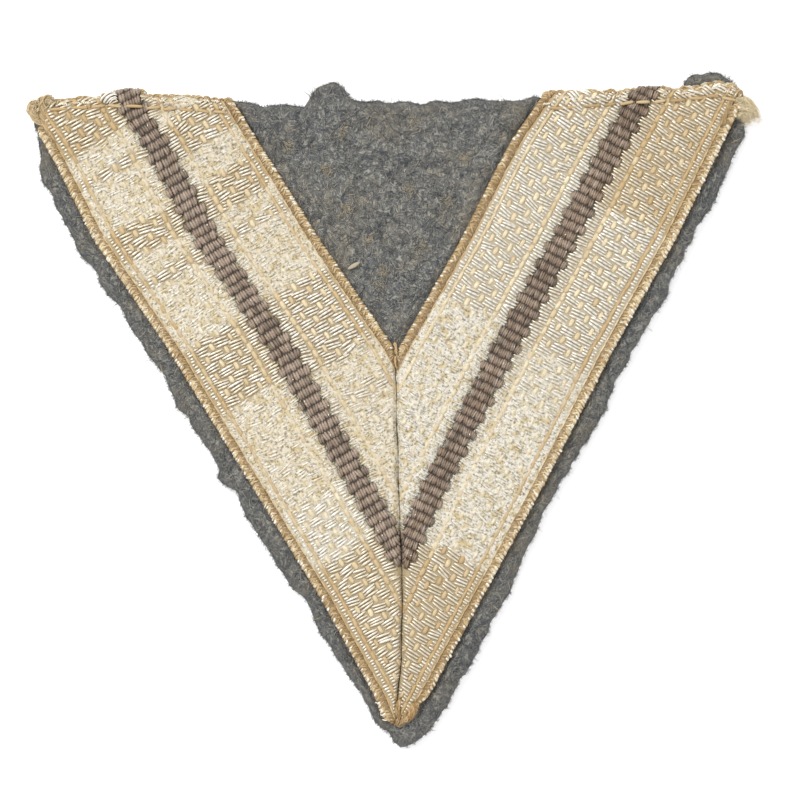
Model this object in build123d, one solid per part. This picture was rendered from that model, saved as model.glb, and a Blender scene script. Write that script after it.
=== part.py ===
from build123d import *

import math
import os

# A rank chevron that lies flat: a V of woven metal braid on a backing of wool felt.
# The origin is under the middle of the felt, +Z is up through the face, +Y points away from the tip,
# and +X is to the right of somebody who looks at the face. Every length is in millimetres.

# Thicknesses and levels.
felt_thickness = 2.0
braid_thickness = 1.0
hem_slit = 0.15
flap_sink = 0.8
flap_past_climb = 0.5
piece_gap = 0.1

# The braid's section, measured sideways from the middle of the stripe.
braid_half_width = 12.6
stripe_half_width = 1.65
channel_half_width = 1.95
ladder_edge = 2.95
field_edge = 10.05
furrow_edge = 11.15
furrow_middle = 11.35
selvage_start = 11.5
selvage_crown = 12.1

# Heights of that section above the underside of the braid.
channel_height = 0.70
flat_height = 0.92
field_height = 1.02
furrow_height = 0.72
selvage_height = braid_thickness + 0.08
edge_height = 0.50

# The ribs of the stripe.
rib_pitch = 1.29
rib_length = 3.3
rib_width = 1.15
rib_height = 0.38
rib_stagger = 0.2
rib_sink = 0.1
rib_start = 1.2
stripe_base_height = 0.30

# The seam where the two arms meet: x at its upper and lower end.
seam_top = (0.5, 9.0)
seam_bottom = (1.1, -45.0)
seam_gap = 0.1

# Each arm is cut by level lines. Columns: y, outer edge x, stripe x, inner edge x.
left_arm_rows = (
    (39.0, -48.9, -34.3, -19.7),
    (36.0, -46.7, -31.7, -17.9),
    (32.5, -44.8, -29.9, -15.6),
    (22.7, -39.9, -24.6, -9.5),
    (8.0, -29.9, -14.6, 0.6),
    (-9.3, -19.3, -4.7, 10.6),
    (-25.3, -9.5, 4.6, 19.6),
    (-41.4, -0.4, 14.0, 29.0),
)
right_arm_rows = (
    (39.0, 45.9, 31.7, 18.0),
    (36.0, 44.4, 30.0, 15.9),
    (32.5, 42.7, 28.1, 14.0),
    (22.7, 37.9, 22.9, 9.1),
    (8.0, 29.6, 14.9, 0.7),
    (-9.3, 20.7, 6.1, -8.0),
    (-25.3, 12.0, -1.3, -15.5),
    (-41.4, 3.2, -9.6, -24.0),
)

# Where the top end is folded. Columns: x, y of the fold's outside.
left_fold_rows = (
    (-52.0, 40.6),
    (-45.4, 41.4),
    (-37.0, 42.6),
    (-32.8, 42.6),
    (-19.0, 41.4),
)
right_fold_rows = (
    (18.0, 42.4),
    (23.5, 42.5),
    (35.5, 43.0),
    (43.5, 43.3),
    (48.5, 42.0),
)

# The outline of each hem. Columns: x, y.
left_hem_outline = (
    (-23.1, 45.0),
    (-17.5, 35.0),
    (-47.2, 35.0),
    (-47.2, 37.7),
    (-45.4, 41.8),
    (-45.0, 45.0),
)
right_hem_outline = (
    (22.3, 45.0),
    (15.1, 35.0),
    (43.9, 35.0),
    (47.0, 41.3),
    (46.8, 42.3),
    (45.0, 45.0),
)

# What the outer corner of the left arm loses, beside the tuft. Columns: x, y.
left_corner_cut = (
    (-47.7, 36.6),
    (-45.4, 41.8),
    (-45.4, 46.0),
    (-56.0, 46.0),
    (-56.0, 36.6),
)

# The outline of the felt, clockwise from the left top corner. Columns: x, y.
felt_outline = (
    (-47.9, 40.3),
    (-46.2, 41.3),
    (-21.6, 41.2),
    (-16.3, 40.6),
    (-11.2, 40.8),
    (-9.9, 43.3),
    (-7.6, 43.7),
    (-5.9, 41.1),
    (5.1, 40.9),
    (11.5, 41.5),
    (21.5, 41.7),
    (38.8, 42.0),
    (39.6, 44.2),
    (41.2, 45.0),
    (44.6, 45.0),
    (46.4, 43.2),
    (47.7, 41.6),
    (47.2, 36.9),
    (44.4, 30.7),
    (36.3, 14.7),
    (27.5, -1.3),
    (18.6, -17.3),
    (10.9, -33.3),
    (6.6, -40.6),
    (3.0, -44.6),
    (1.3, -45.1),
    (0.1, -44.3),
    (-0.7, -42.9),
    (-2.4, -41.4),
    (-11.7, -25.2),
    (-17.4, -17.2),
    (-22.9, -9.3),
    (-28.7, 0.2),
    (-36.2, 13.1),
    (-42.7, 22.6),
    (-46.6, 30.7),
    (-47.3, 35.5),
    (-48.0, 38.3),
)
felt_corner_radius = 0.5
felt_edge_chamfer = 0.35

# The frayed ends. Where each head stands and which way it faces, in degrees.
left_tuft_place = (-47.05, 39.6)
left_tuft_facing = 156.0
right_tuft_place = (46.95, 39.7)
right_tuft_facing = -27.0
tuft_head_size = (0.8, 2.6, 1.1)

# Their locks. Columns: place along the head, height above the felt, turn from straight out in degrees,
# length, root radius, middle radius, rise of the end.
left_locks = (
    (-0.9, 0.75, -52.0, 2.1, 0.45, 0.58, 0.20),
    (-0.5, 0.80, -24.0, 2.2, 0.46, 0.64, 0.30),
    (0.1, 0.80, 4.0, 2.2, 0.46, 0.66, 0.20),
    (0.6, 0.75, 30.0, 2.1, 0.44, 0.58, 0.05),
    (1.0, 0.65, 60.0, 1.5, 0.42, 0.50, 0.00),
    (-0.2, 1.05, -10.0, 1.7, 0.36, 0.48, 0.25),
)
right_locks = (
    (0.9, 0.75, 74.0, 1.9, 0.42, 0.54, 0.15),
    (0.6, 0.80, 46.0, 2.1, 0.45, 0.60, 0.25),
    (0.1, 0.80, 20.0, 2.2, 0.45, 0.62, 0.25),
    (-0.4, 0.75, -4.0, 2.3, 0.45, 0.58, 0.05),
    (-0.9, 0.65, -36.0, 1.7, 0.42, 0.52, 0.00),
    (0.2, 1.05, 30.0, 1.5, 0.36, 0.46, 0.25),
)
lock_sides = 6
lock_overlap = 0.1
lock_end_radius = 0.16

# The roll that closes the tip: its radius, how deep it sits in the felt's nap, and its arc. Columns: x, y.
tip_roll_radius = 0.8
tip_roll_flat = 0.15
tip_roll_arc = ((2.55, -39.3), (2.0, -41.0), (0.3, -41.5))

felt_top = felt_thickness
flap_bottom = felt_top - flap_sink
wall_lift = braid_thickness + hem_slit - flap_sink
fold_radius = (2 * braid_thickness + hem_slit) / 2
fold_middle = flap_bottom + fold_radius
hem_join = left_arm_rows[0][0]
climb_top = left_arm_rows[1][0]
climb_foot = left_arm_rows[2][0]
flap_end = climb_top + flap_past_climb
above_all = 10.0
past_the_hem = 8.0


def between(value, low, high, at_low, at_high):
    """The value on the straight line from at_low to at_high, held at its two ends."""
    share = min(1.0, max(0.0, (value - low) / (high - low)))
    return at_low + share * (at_high - at_low)


def lift_at(y):
    """How far the braid stands above the felt: it climbs over its own turned-under end."""
    return between(y, climb_foot, climb_top, 0.0, wall_lift)


def side_points(y, middle, edge):
    """Points of half a section, from the channel's corner out to the edge, in the plane of one level line."""
    base = felt_top + lift_at(y)
    scale = (edge - middle) / braid_half_width

    def at(offset, height):
        return Vector(middle + scale * offset, y, base + height)

    return {
        "channel_foot": at(channel_half_width, channel_height),
        "channel_top": at(channel_half_width, flat_height),
        "ladder": at(ladder_edge, flat_height),
        "field": at((ladder_edge + field_edge) / 2, field_height),
        "field_end": at(field_edge, flat_height),
        "furrow_start": at(furrow_edge, flat_height),
        "furrow": at(furrow_middle, furrow_height),
        "selvage": at(selvage_start, flat_height),
        "crown": at(selvage_crown, selvage_height),
        "edge": at(braid_half_width, edge_height),
        "foot": at(braid_half_width, 0.0),
    }


def half_section(side):
    """The lines and arcs over half the braid, from the channel to the underside."""
    return [
        Edge.make_line(side["channel_foot"], side["channel_top"]),
        Edge.make_line(side["channel_top"], side["ladder"]),
        Edge.make_three_point_arc(side["ladder"], side["field"], side["field_end"]),
        Edge.make_line(side["field_end"], side["furrow_start"]),
        Edge.make_line(side["furrow_start"], side["furrow"]),
        Edge.make_line(side["furrow"], side["selvage"]),
        Edge.make_three_point_arc(side["selvage"], side["crown"], side["edge"]),
        Edge.make_line(side["edge"], side["foot"]),
    ]


def arm_section(row):
    """One closed section of an arm on a level line."""
    y, outer, middle, inner = row
    outside = side_points(y, middle, outer)
    inside = side_points(y, middle, inner)
    edges = half_section(outside)
    edges.append(Edge.make_line(outside["foot"], inside["foot"]))
    edges += half_section(inside)
    edges.append(Edge.make_line(inside["channel_foot"], outside["channel_foot"]))
    return Wire(edges)


def prism(outline, bottom, top):
    """An upright solid over an outline."""
    corners = [Vector(x, y, bottom) for x, y in outline]
    face = Face(Wire.make_polygon(corners, close=True))
    return Solid.extrude(face, Vector(0, 0, top - bottom))


def seam_side(direction):
    """The space on one side of the seam: direction is -1 for the left arm and 1 for the right arm."""
    far_side = 80.0 * direction
    far_top = 60.0
    gap = seam_gap / 2 * direction
    outline = (
        (seam_top[0] + gap, far_top),
        (seam_top[0] + gap, seam_top[1]),
        (seam_bottom[0] + gap, seam_bottom[1]),
        (far_side, seam_bottom[1]),
        (far_side, far_top),
    )
    return prism(outline, 0.0, above_all)


def hairpin_section(x, fold_y):
    """The hem at one x: a leg on top, the bend, and the flap under it."""
    bend = fold_y - fold_radius
    slit = hem_slit / 2
    top = fold_middle + fold_radius

    def at(y, z):
        return Vector(x, y, z)

    return Wire(
        [
            Edge.make_line(at(hem_join, top), at(bend, top)),
            Edge.make_three_point_arc(at(bend, top), at(fold_y, fold_middle), at(bend, flap_bottom)),
            Edge.make_line(at(bend, flap_bottom), at(flap_end, flap_bottom)),
            Edge.make_line(at(flap_end, flap_bottom), at(flap_end, fold_middle - slit)),
            Edge.make_line(at(flap_end, fold_middle - slit), at(bend, fold_middle - slit)),
            Edge.make_three_point_arc(
                at(bend, fold_middle - slit), at(bend + slit, fold_middle), at(bend, fold_middle + slit)
            ),
            Edge.make_line(at(bend, fold_middle + slit), at(hem_join, fold_middle + slit)),
            Edge.make_line(at(hem_join, fold_middle + slit), at(hem_join, top)),
        ]
    )


def skin_section(x, fold_y):
    """The outer skin of the hem at one x, where the stripe goes over the bend to its front."""
    bend = fold_y - fold_radius
    top = fold_middle + fold_radius
    skin = stripe_base_height
    half = math.sqrt(0.5)

    def at(y, z):
        return Vector(x, y, z)

    def on_bend(radius):
        return at(bend + half * radius, fold_middle + half * radius)

    inner = fold_radius - skin
    return Wire(
        [
            Edge.make_line(at(hem_join, top), at(bend, top)),
            Edge.make_three_point_arc(at(bend, top), on_bend(fold_radius), at(fold_y, fold_middle)),
            Edge.make_line(at(fold_y, fold_middle), at(fold_y - skin, fold_middle)),
            Edge.make_three_point_arc(at(fold_y - skin, fold_middle), on_bend(inner), at(bend, top - skin)),
            Edge.make_line(at(bend, top - skin), at(hem_join, top - skin)),
            Edge.make_line(at(hem_join, top - skin), at(hem_join, top)),
        ]
    )


def across_fold(section, fold_rows):
    """A solid through one kind of section along a fold."""
    return Solid.make_loft([section(x, fold_y) for x, fold_y in fold_rows], ruled=True)


def stripe_direction(arm_rows):
    """The unit direction of the stripe at its top end, towards the hem."""
    upper, lower = arm_rows[0], arm_rows[1]
    return Vector(upper[2] - lower[2], upper[0] - lower[0], 0).normalized()


def strip_over_hem(arm_rows, half_width):
    """An upright slanted strip, of the stripe's width, over the hem."""
    along = stripe_direction(arm_rows)
    start = Vector(arm_rows[0][2], arm_rows[0][0], 0)
    end = start + along * past_the_hem
    half = half_width / along.Y
    outline = (
        (start.X - half, start.Y),
        (start.X + half, start.Y),
        (end.X + half, end.Y),
        (end.X - half, end.Y),
    )
    return prism(outline, 0.0, above_all)


def braid_arm(arm_rows, fold_rows, hem_outline, side, corner_cut=None):
    """One arm: the wall, its hem with the channel for the stripe, cut at the seam and round the roll."""
    wall = Solid.make_loft([arm_section(row) for row in arm_rows], ruled=True)
    if corner_cut:
        wall = wall - prism(corner_cut, 0.0, above_all)
    hem = across_fold(hairpin_section, fold_rows) & prism(hem_outline, 0.0, above_all)
    channel = across_fold(skin_section, fold_rows) & strip_over_hem(arm_rows, channel_half_width)
    arm = wall + (hem - channel)
    return (arm & seam_side(side)) - tip_roll(piece_gap)


def stripe_section(row):
    """The flat base of the stripe on a level line."""
    y, outer, middle, inner = row
    base = felt_top + lift_at(y) + channel_height
    left = middle + (outer - middle) * stripe_half_width / braid_half_width
    right = middle + (inner - middle) * stripe_half_width / braid_half_width
    top = base + stripe_base_height
    corners = (
        Vector(left, y, base),
        Vector(right, y, base),
        Vector(right, y, top),
        Vector(left, y, top),
    )
    return Wire.make_polygon(corners, close=True)


def rib():
    """One half-round rib that lies along Y, with its foot below z = 0."""
    half = rib_width / 2
    foot = -rib_sink
    start = -rib_length / 2
    corners = [
        Vector(-half, start, 0),
        Vector(-half, start, foot),
        Vector(half, start, foot),
        Vector(half, start, 0),
    ]
    edges = [Edge.make_line(a, b) for a, b in zip(corners[:-1], corners[1:])]
    edges.append(Edge.make_three_point_arc(corners[3], Vector(0, start, rib_height), corners[0]))
    return Solid.extrude(Face(Wire(edges)), Vector(0, rib_length, 0))


def rib_places(arm_rows):
    """Where the ribs lie: points a pitch apart down the stripe, each with its direction."""
    along = stripe_direction(arm_rows)
    first = Vector(arm_rows[0][2], arm_rows[0][0], 0) + along * rib_start
    route = [first] + [Vector(row[2], row[0], 0) for row in arm_rows]
    places = []
    left_over = 0.0
    for start, end in zip(route[:-1], route[1:]):
        run = (end - start).length
        heading = (end - start).normalized()
        distance = left_over
        while distance < run:
            places.append((start + heading * distance, heading))
            distance += rib_pitch
        left_over = distance - run
    return places


def stripe(arm_rows, fold_rows, side):
    """The ribbed stripe of one arm: a flat base, a skin over the hem, and ribs that step from side to side."""
    base = Solid.make_loft([stripe_section(row) for row in arm_rows], ruled=True)
    over_hem = across_fold(skin_section, fold_rows) & strip_over_hem(arm_rows, stripe_half_width)
    one_rib = rib()
    ribs = []
    for number, (place, heading) in enumerate(rib_places(arm_rows)):
        sideways = Vector(-heading.Y, heading.X, 0)
        stagger = rib_stagger if number % 2 else -rib_stagger
        height = felt_top + lift_at(place.Y) + channel_height + stripe_base_height
        middle = place + sideways * stagger + Vector(0, 0, height)
        turn = math.degrees(math.atan2(heading.Y, heading.X))
        ribs.append(one_rib.moved(Location(middle, (0, 0, turn))))
    whole = (base.fuse(over_hem, *ribs) & seam_side(side)) - tip_roll(piece_gap)
    return whole.solids().sort_by(SortBy.VOLUME)[-1]


def tip_roll(margin=0.0):
    """The round roll of the tip. A margin makes it thicker, to clear its neighbours."""
    height = felt_top + tip_roll_radius - tip_roll_flat
    first, second, third = [Vector(x, y, height) for x, y in tip_roll_arc]
    path = Edge.make_three_point_arc(first, second, third)
    circle = Wire.make_circle(tip_roll_radius + margin, Plane(origin=first, z_dir=path % 0))
    roll = Solid.sweep(Face(circle), path)
    return roll - prism(felt_outline, 0.0, felt_top)


def felt():
    """The felt: a cut outline with softened edges, and hollows where the hems press into it."""
    sheet = prism(felt_outline, 0.0, felt_thickness)
    upright = [edge for edge in sheet.edges() if abs(edge.tangent_at(0).Z) > 0.9]
    sheet = sheet.fillet(felt_corner_radius, upright)
    rim = [edge for edge in sheet.edges() if edge.center().Z > felt_thickness - 0.01]
    sheet = sheet.chamfer(felt_edge_chamfer, None, rim)
    for outline, fold_rows in (
        (left_hem_outline, left_fold_rows),
        (right_hem_outline, right_fold_rows),
    ):
        rows = [(x, fold_y + piece_gap) for x, fold_y in fold_rows]
        hollow = Solid.make_loft([hollow_section(x, fold_y) for x, fold_y in rows], ruled=True)
        sheet = sheet - (hollow & prism(outline, 0.0, above_all))
    return sheet


def hollow_section(x, fold_y):
    """The hollow under a hem at one x."""
    corners = (
        Vector(x, flap_end - piece_gap, flap_bottom),
        Vector(x, fold_y, flap_bottom),
        Vector(x, fold_y, felt_top + 1.0),
        Vector(x, flap_end - piece_gap, felt_top + 1.0),
    )
    return Wire.make_polygon(corners, close=True)


def lock(root, heading, length, root_radius, middle_radius, rise):
    """One lock of threads: a faceted taper, thickest before its middle."""
    sections = []
    for share, radius in ((0.0, root_radius), (0.5, middle_radius), (1.0, lock_end_radius)):
        centre = root + heading * (length * share) + Vector(0, 0, rise * share)
        plane = Plane(origin=centre, x_dir=(0, 0, 1), z_dir=heading)
        angles = [2 * math.pi * corner / lock_sides for corner in range(lock_sides)]
        corners = [
            plane.from_local_coords((radius * math.cos(angle), radius * math.sin(angle), 0))
            for angle in angles
        ]
        sections.append(Wire.make_polygon(corners, close=True))
    return Solid.make_loft(sections, ruled=True)


def tuft(place, facing, locks):
    """A frayed end: a small head with the locks that spread from it."""
    width, length, height = tuft_head_size
    foot = Vector(place[0], place[1], felt_top)
    out = Vector(1, 0, 0).rotate(Axis.Z, facing)
    along = Vector(0, 1, 0).rotate(Axis.Z, facing)
    corner = foot - out * (width / 2) - along * (length / 2)
    head = Solid.make_box(width, length, height, Plane(corner, x_dir=out, z_dir=(0, 0, 1)))
    made = []
    for offset, level, turn, reach, root_radius, middle_radius, rise in locks:
        root = foot + along * offset - out * lock_overlap + Vector(0, 0, level)
        heading = Vector(1, 0, 0).rotate(Axis.Z, facing + turn)
        made.append(lock(root, heading, reach, root_radius, middle_radius, rise))
    return head.fuse(*made)


nodes = {
    "felt_backing": felt(),
    "braid_left": braid_arm(left_arm_rows, left_fold_rows, left_hem_outline, -1, left_corner_cut),
    "braid_right": braid_arm(right_arm_rows, right_fold_rows, right_hem_outline, 1),
    "stripe_left": stripe(left_arm_rows, left_fold_rows, -1),
    "stripe_right": stripe(right_arm_rows, right_fold_rows, 1),
    "corner_tuft_left": tuft(left_tuft_place, left_tuft_facing, left_locks),
    "corner_tuft_right": tuft(right_tuft_place, right_tuft_facing, right_locks),
    "tip_fold": tip_roll(),
}

os.makedirs("parts", exist_ok=True)
for name, shape in nodes.items():
    export_step(shape, f"parts/{name}.step")
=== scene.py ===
import math

import bpy
import numpy as np
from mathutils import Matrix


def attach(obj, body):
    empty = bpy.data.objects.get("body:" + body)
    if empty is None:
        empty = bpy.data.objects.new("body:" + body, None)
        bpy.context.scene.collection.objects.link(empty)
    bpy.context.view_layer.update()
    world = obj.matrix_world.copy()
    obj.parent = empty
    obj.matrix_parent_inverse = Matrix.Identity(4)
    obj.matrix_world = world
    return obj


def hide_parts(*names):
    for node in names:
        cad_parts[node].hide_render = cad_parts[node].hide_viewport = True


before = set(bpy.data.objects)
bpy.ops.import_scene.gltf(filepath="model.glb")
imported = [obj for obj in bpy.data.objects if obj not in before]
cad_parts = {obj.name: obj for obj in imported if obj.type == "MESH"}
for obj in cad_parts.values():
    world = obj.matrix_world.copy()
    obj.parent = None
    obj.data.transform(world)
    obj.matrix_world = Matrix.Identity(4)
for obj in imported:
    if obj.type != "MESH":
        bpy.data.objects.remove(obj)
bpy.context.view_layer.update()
print("frame loaded")

# Everything is worked out in millimetres and goes into the meshes in metres.
mm = 0.001
chance = np.random.default_rng(25)

# Levels as the frame has them: heights above the table that the badge lies on. The braid climbs onto its
# folded end between the y of the climb's foot and the y of its top. The braid's value is its thickness.
levels = {
    "feltTop": 2.0,
    "climbFoot": 32.5,
    "climbTop": 36.0,
    "climb": 0.35,
    "braid": 1.0,
    "foldRadius": 1.075,
    "foldMiddle": 2.275,
}

# The braid across its width, from the middle of the brown stripe: offset, height above its underside.
braidSection = np.array([
    (0.0, 0.70), (1.45, 0.70), (1.70, 0.90), (2.95, 0.92), (6.5, 1.02), (10.05, 0.92),
    (11.10, 0.92), (11.32, 0.76), (11.55, 0.92), (12.10, 1.04), (12.40, 0.86), (12.55, 0.50),
])
halfBraid = 12.6

# Each arm by level lines. Columns: y, outer edge x, stripe x, inner edge x.
# The fold is the line over which the top end is turned under, and the stitches hold it. Columns: x, y.
# The corner is the slanting end of its top. Columns: y, x. The tip's cut slants too: a place on it, and
# the way that leads inwards. Then come the x of both ends of the fold's bumps, the x of the stripe on
# the fold, which way is outwards, and where the rows of the weave start. The last values say how dark
# and how rusty the stripe is, how soiled the weave is outside the bands, how broken into glints its
# silver is, and how warm the cloth is.
arms = {
    "Left": {
        "rows": np.array([
            (49.0, -55.6, -38.0, -25.7), (39.0, -48.9, -33.9, -19.7), (36.0, -46.7, -31.7, -17.9),
            (32.5, -44.8, -29.9, -15.6), (22.7, -39.9, -24.6, -9.5), (8.0, -29.9, -14.6, 0.6),
            (-9.3, -19.3, -4.7, 10.6), (-25.3, -9.5, 4.6, 19.6), (-38.0, -2.5, 12.0, 27.0),
            (-41.4, -1.2, 14.0, 29.0), (-50.0, 3.4, 19.0, 34.0),
        ]),
        "fold": np.array([
            (-52.0, 40.6), (-45.4, 41.3), (-38.6, 41.9), (-37.4, 42.6), (-33.4, 42.7), (-32.4, 42.1),
            (-26.0, 41.9), (-22.0, 41.5), (-19.0, 41.1),
        ]),
        "stitches": np.array([(-46.0, 40.0), (-38.0, 40.55), (-34.5, 40.5), (-30.0, 40.15), (-20.9, 39.6)]),
        "corner": np.array([(36.9, -47.4), (41.8, -45.2)]),
        "tipCut": ((-1.0, -41.15), (0.592, 0.806)),
        "ends": (-45.6, -21.2),
        "stripeCap": -35.4,
        "outward": -1.0,
        "phase": 1.285,
        "stripeShade": 0.27,
        "rust": -0.10,
        "soil": 0.42,
        "glint": 0.72,
        "warmth": 0.45,
    },
    "Right": {
        "rows": np.array([
            (49.0, 50.9, 37.4, 24.9), (39.0, 45.9, 31.7, 18.0), (36.0, 44.4, 30.0, 15.9),
            (32.5, 42.7, 28.1, 14.0), (22.7, 37.9, 22.9, 9.1), (8.0, 29.6, 14.9, 0.7),
            (-9.3, 20.7, 6.1, -8.0), (-25.3, 12.0, -1.3, -15.5), (-41.4, 3.2, -9.6, -24.0),
            (-50.0, -1.6, -14.2, -28.5),
        ]),
        "fold": np.array([
            (18.0, 42.2), (21.0, 42.6), (31.3, 42.6), (32.4, 43.0), (36.0, 43.1), (37.0, 42.8),
            (41.0, 43.2), (43.0, 43.8), (45.5, 43.4), (48.5, 42.0),
        ]),
        "stitches": np.array([(20.5, 40.1), (31.1, 40.9), (38.5, 41.3), (43.1, 41.9), (46.0, 41.2)]),
        "corner": np.array([(37.0, 45.2), (41.3, 47.0), (42.3, 46.8)]),
        "tipCut": ((3.5, -39.4), (-0.635, 0.773)),
        "ends": (20.8, 46.4),
        "stripeCap": 34.2,
        "outward": 1.0,
        "phase": -0.93,
        "stripeShade": 0.42,
        "rust": 0.22,
        "soil": 0.10,
        "glint": 0.66,
        "warmth": 0.35,
    },
}

# The seam: its x at each y, and the width of its gap. The cloth beside it dips by the depth, within the
# shoulder's width. The tip's end is about the lowest y that the cloth reaches.
seam = {
    "x": (0.7, 0.75, 1.2, 1.3, 1.4, 0.95, 0.67, 0.45),
    "y": (-45.0, -38.4, -34.3, -30.0, -22.7, -12.7, -2.0, 9.0),
    "gap": 0.09, "depth": 0.66, "shoulder": 0.30, "tipEnd": -41.5,
}

# The edges lean, so that the distance to one is this share of the distance along x.
leanShare = 0.86

# From so many mm along an arm, towards the tip, the braid is older.
oldFrom = 62

# Where the weave lies crisp, with gaps between its threads. Elsewhere it is bright and blotched with painted
# glare.
# Columns: from, to along the arm in mm, half (1 outer, -1 inner, 0 both), how crisp, how tarnished.
crispBands = {
    "Left": [
        (-16.0, 0.2, 1, 1.0, 2.2), (3.9, 5.2, 1, 0.8, 0.7), (-16.0, 1.0, -1, 0.5, 0.9),
        (2.5, 8.0, -1, 1.0, 0.8), (12.1, 16.5, 0, 1.0, 0.95), (19.1, 20.7, 0, 0.85, 0.6),
        (30.0, 40.1, 1, 1.0, 0.85), (30.0, 41.3, -1, 1.0, 0.60), (45.5, 47.6, -1, 0.5, 0.5),
        (55.5, 64.2, 1, 0.35, 0.15), (64.2, 120.0, 1, 0.95, 1.05),
    ],
    "Right": [
        (-16.0, 33.4, 1, 0.95, 0.27), (-16.0, 31.9, -1, 0.85, 0.22), (-16.0, 8.0, -1, 1.0, 0.40),
        (-16.0, 12.0, 1, 1.0, 1.3), (33.4, 40.0, 1, 0.3, 0.1), (62.6, 120.0, 1, 0.95, 1.4),
    ],
}


# A mesh from its points and faces, which ride with the badge. Its faces are turned outwards: where
# the volume that they close comes out below nought, each face is read the other way round.
def makePiece(name, shape, finish):
    points = shape["points"]
    faces = [f for f in shape["faces"] if len(f)]
    triangles = np.concatenate([f[:, [0, k, k + 1]] for f in faces for k in range(1, f.shape[1] - 1)])
    a, b, c = (points[triangles[:, k]] for k in range(3))
    if np.einsum("ij,ij->", a, np.cross(b, c)) < 0:
        faces = [f[:, ::-1] for f in faces]
    sizes = np.concatenate([np.full(len(f), f.shape[1]) for f in faces])
    mesh = bpy.data.meshes.new(name)
    mesh.vertices.add(len(points))
    mesh.vertices.foreach_set("co", (points * mm).ravel())
    mesh.loops.add(int(sizes.sum()))
    mesh.loops.foreach_set("vertex_index", np.concatenate([f.ravel() for f in faces]).astype(np.int32))
    mesh.polygons.add(len(sizes))
    mesh.polygons.foreach_set("loop_start", (np.cumsum(sizes) - sizes).astype(np.int32))
    mesh.update(calc_edges=True)
    mesh.shade_smooth()
    for key in sorted(set(shape) - {"points", "faces"}):
        layer = mesh.attributes.new(key, "FLOAT", "POINT")
        layer.data.foreach_set("value", shape[key].astype(np.float32))
    mesh.validate()
    mesh.materials.append(finish)
    piece = bpy.data.objects.new(name, mesh)
    bpy.context.scene.collection.objects.link(piece)
    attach(piece, "root")
    print(name, len(triangles), "triangles")
    return piece


# Several shapes as one: their points follow each other, and each face keeps to its own points. A value
# that a shape lacks is nought on it.
def together(shapes):
    shapes = [s for s in shapes if len(s["points"])]
    starts = np.cumsum([0] + [len(s["points"]) for s in shapes])
    keys = sorted(set().union(*shapes) - {"faces", "points"})
    whole = {key: np.concatenate([s.get(key, np.zeros(len(s["points"]))) for s in shapes]) for key in keys}
    whole["points"] = np.concatenate([s["points"] for s in shapes])
    whole["faces"] = [f + start for s, start in zip(shapes, starts) for f in s["faces"] if len(f)]
    return whole


# Closed tubes. Each path is a middle line, with a ring of points at every station but its two ends,
# which close the tube. A ring's point is the middle plus cosine times half width sideways plus sine
# times half height upwards, square to the path. Sideways is level. The crest is one along the top of
# a tube and falls to nought at its underside and its ends.
def tubes(paths, halfWidths, halfHeights, sides, **values):
    count, stations = paths.shape[:2]
    forward = np.gradient(paths, axis=1)
    forward /= np.linalg.norm(forward, axis=2, keepdims=True) + 1e-12
    side = np.cross(forward, (0.0, 0.0, 1.0))
    side /= np.linalg.norm(side, axis=2, keepdims=True) + 1e-12
    lift = np.cross(side, forward)
    turn = 2 * np.pi * (np.arange(sides) + 0.5) / sides
    wide = (halfWidths + np.zeros((count, stations)))[:, 1:-1, None, None]
    high = (halfHeights + np.zeros((count, stations)))[:, 1:-1, None, None]
    rings = (
        paths[:, 1:-1, None]
        + wide * np.cos(turn)[:, None] * side[:, 1:-1, None]
        + high * np.sin(turn)[:, None] * lift[:, 1:-1, None]
    )
    points = np.concatenate([paths[:, :1], rings.reshape(count, -1, 3), paths[:, -1:]], axis=1)
    perTube = points.shape[1]
    ring = 1 + np.arange(stations - 2)[:, None] * sides + np.arange(sides)
    following = np.roll(ring, -1, axis=1)
    quads = np.stack([ring[:-1], ring[1:], following[1:], following[:-1]], axis=-1).reshape(-1, 4)
    start = np.stack([np.zeros(sides, int), ring[0], following[0]], axis=-1)
    end = np.stack([np.full(sides, perTube - 1), following[-1], ring[-1]], axis=-1)
    offsets = np.arange(count)[:, None, None] * perTube
    shape = {
        "points": points.reshape(-1, 3),
        "faces": [(quads + offsets).reshape(-1, 4), (np.concatenate([start, end]) + offsets).reshape(-1, 3)],
    }
    # The finishes paint shade by the crest on a tube's underside and ends, and the brown silk paints a
    # highlight on its top.
    inwards = 1 - np.abs(np.linspace(-1, 1, stations))[1:-1, None] ** 3
    crest = (inwards * (0.5 + 0.5 * np.sin(turn))).ravel()
    shape["crest"] = np.tile(np.concatenate([[0], crest, [0]]), count)
    for key, value in values.items():
        value = np.asarray(value, float)
        value = (value[:, None] if value.ndim == 1 else value) + np.zeros((count, stations))
        rounds = np.repeat(value[:, 1:-1], sides, axis=1)
        shape[key] = np.concatenate([value[:, :1], rounds, value[:, -1:]], axis=1).ravel()
    return shape


# A closed sheet between two grids of points of one size: both faces, and a wall round their borders.
def closedSheet(upper, lower, **values):
    rows, columns = upper.shape[:2]
    top = np.arange(rows * columns).reshape(rows, columns)
    low = top + rows * columns

    def cells(grid):
        return np.stack([grid[:-1, :-1], grid[:-1, 1:], grid[1:, 1:], grid[1:, :-1]], axis=-1).reshape(-1, 4)

    def border(grid):
        return np.concatenate([grid[0, :-1], grid[:-1, -1], grid[-1, :0:-1], grid[:0:-1, 0]])

    rim, foot = border(top), border(low)
    wall = np.stack([rim, foot, np.roll(foot, -1), np.roll(rim, -1)], axis=-1)
    shape = {
        "points": np.concatenate([upper.reshape(-1, 3), lower.reshape(-1, 3)]),
        "faces": [np.concatenate([cells(top), cells(low)[:, ::-1], wall])],
    }
    for key, value in values.items():
        shape[key] = np.tile((value + np.zeros((rows, columns))).ravel(), 2)
    return shape


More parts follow.
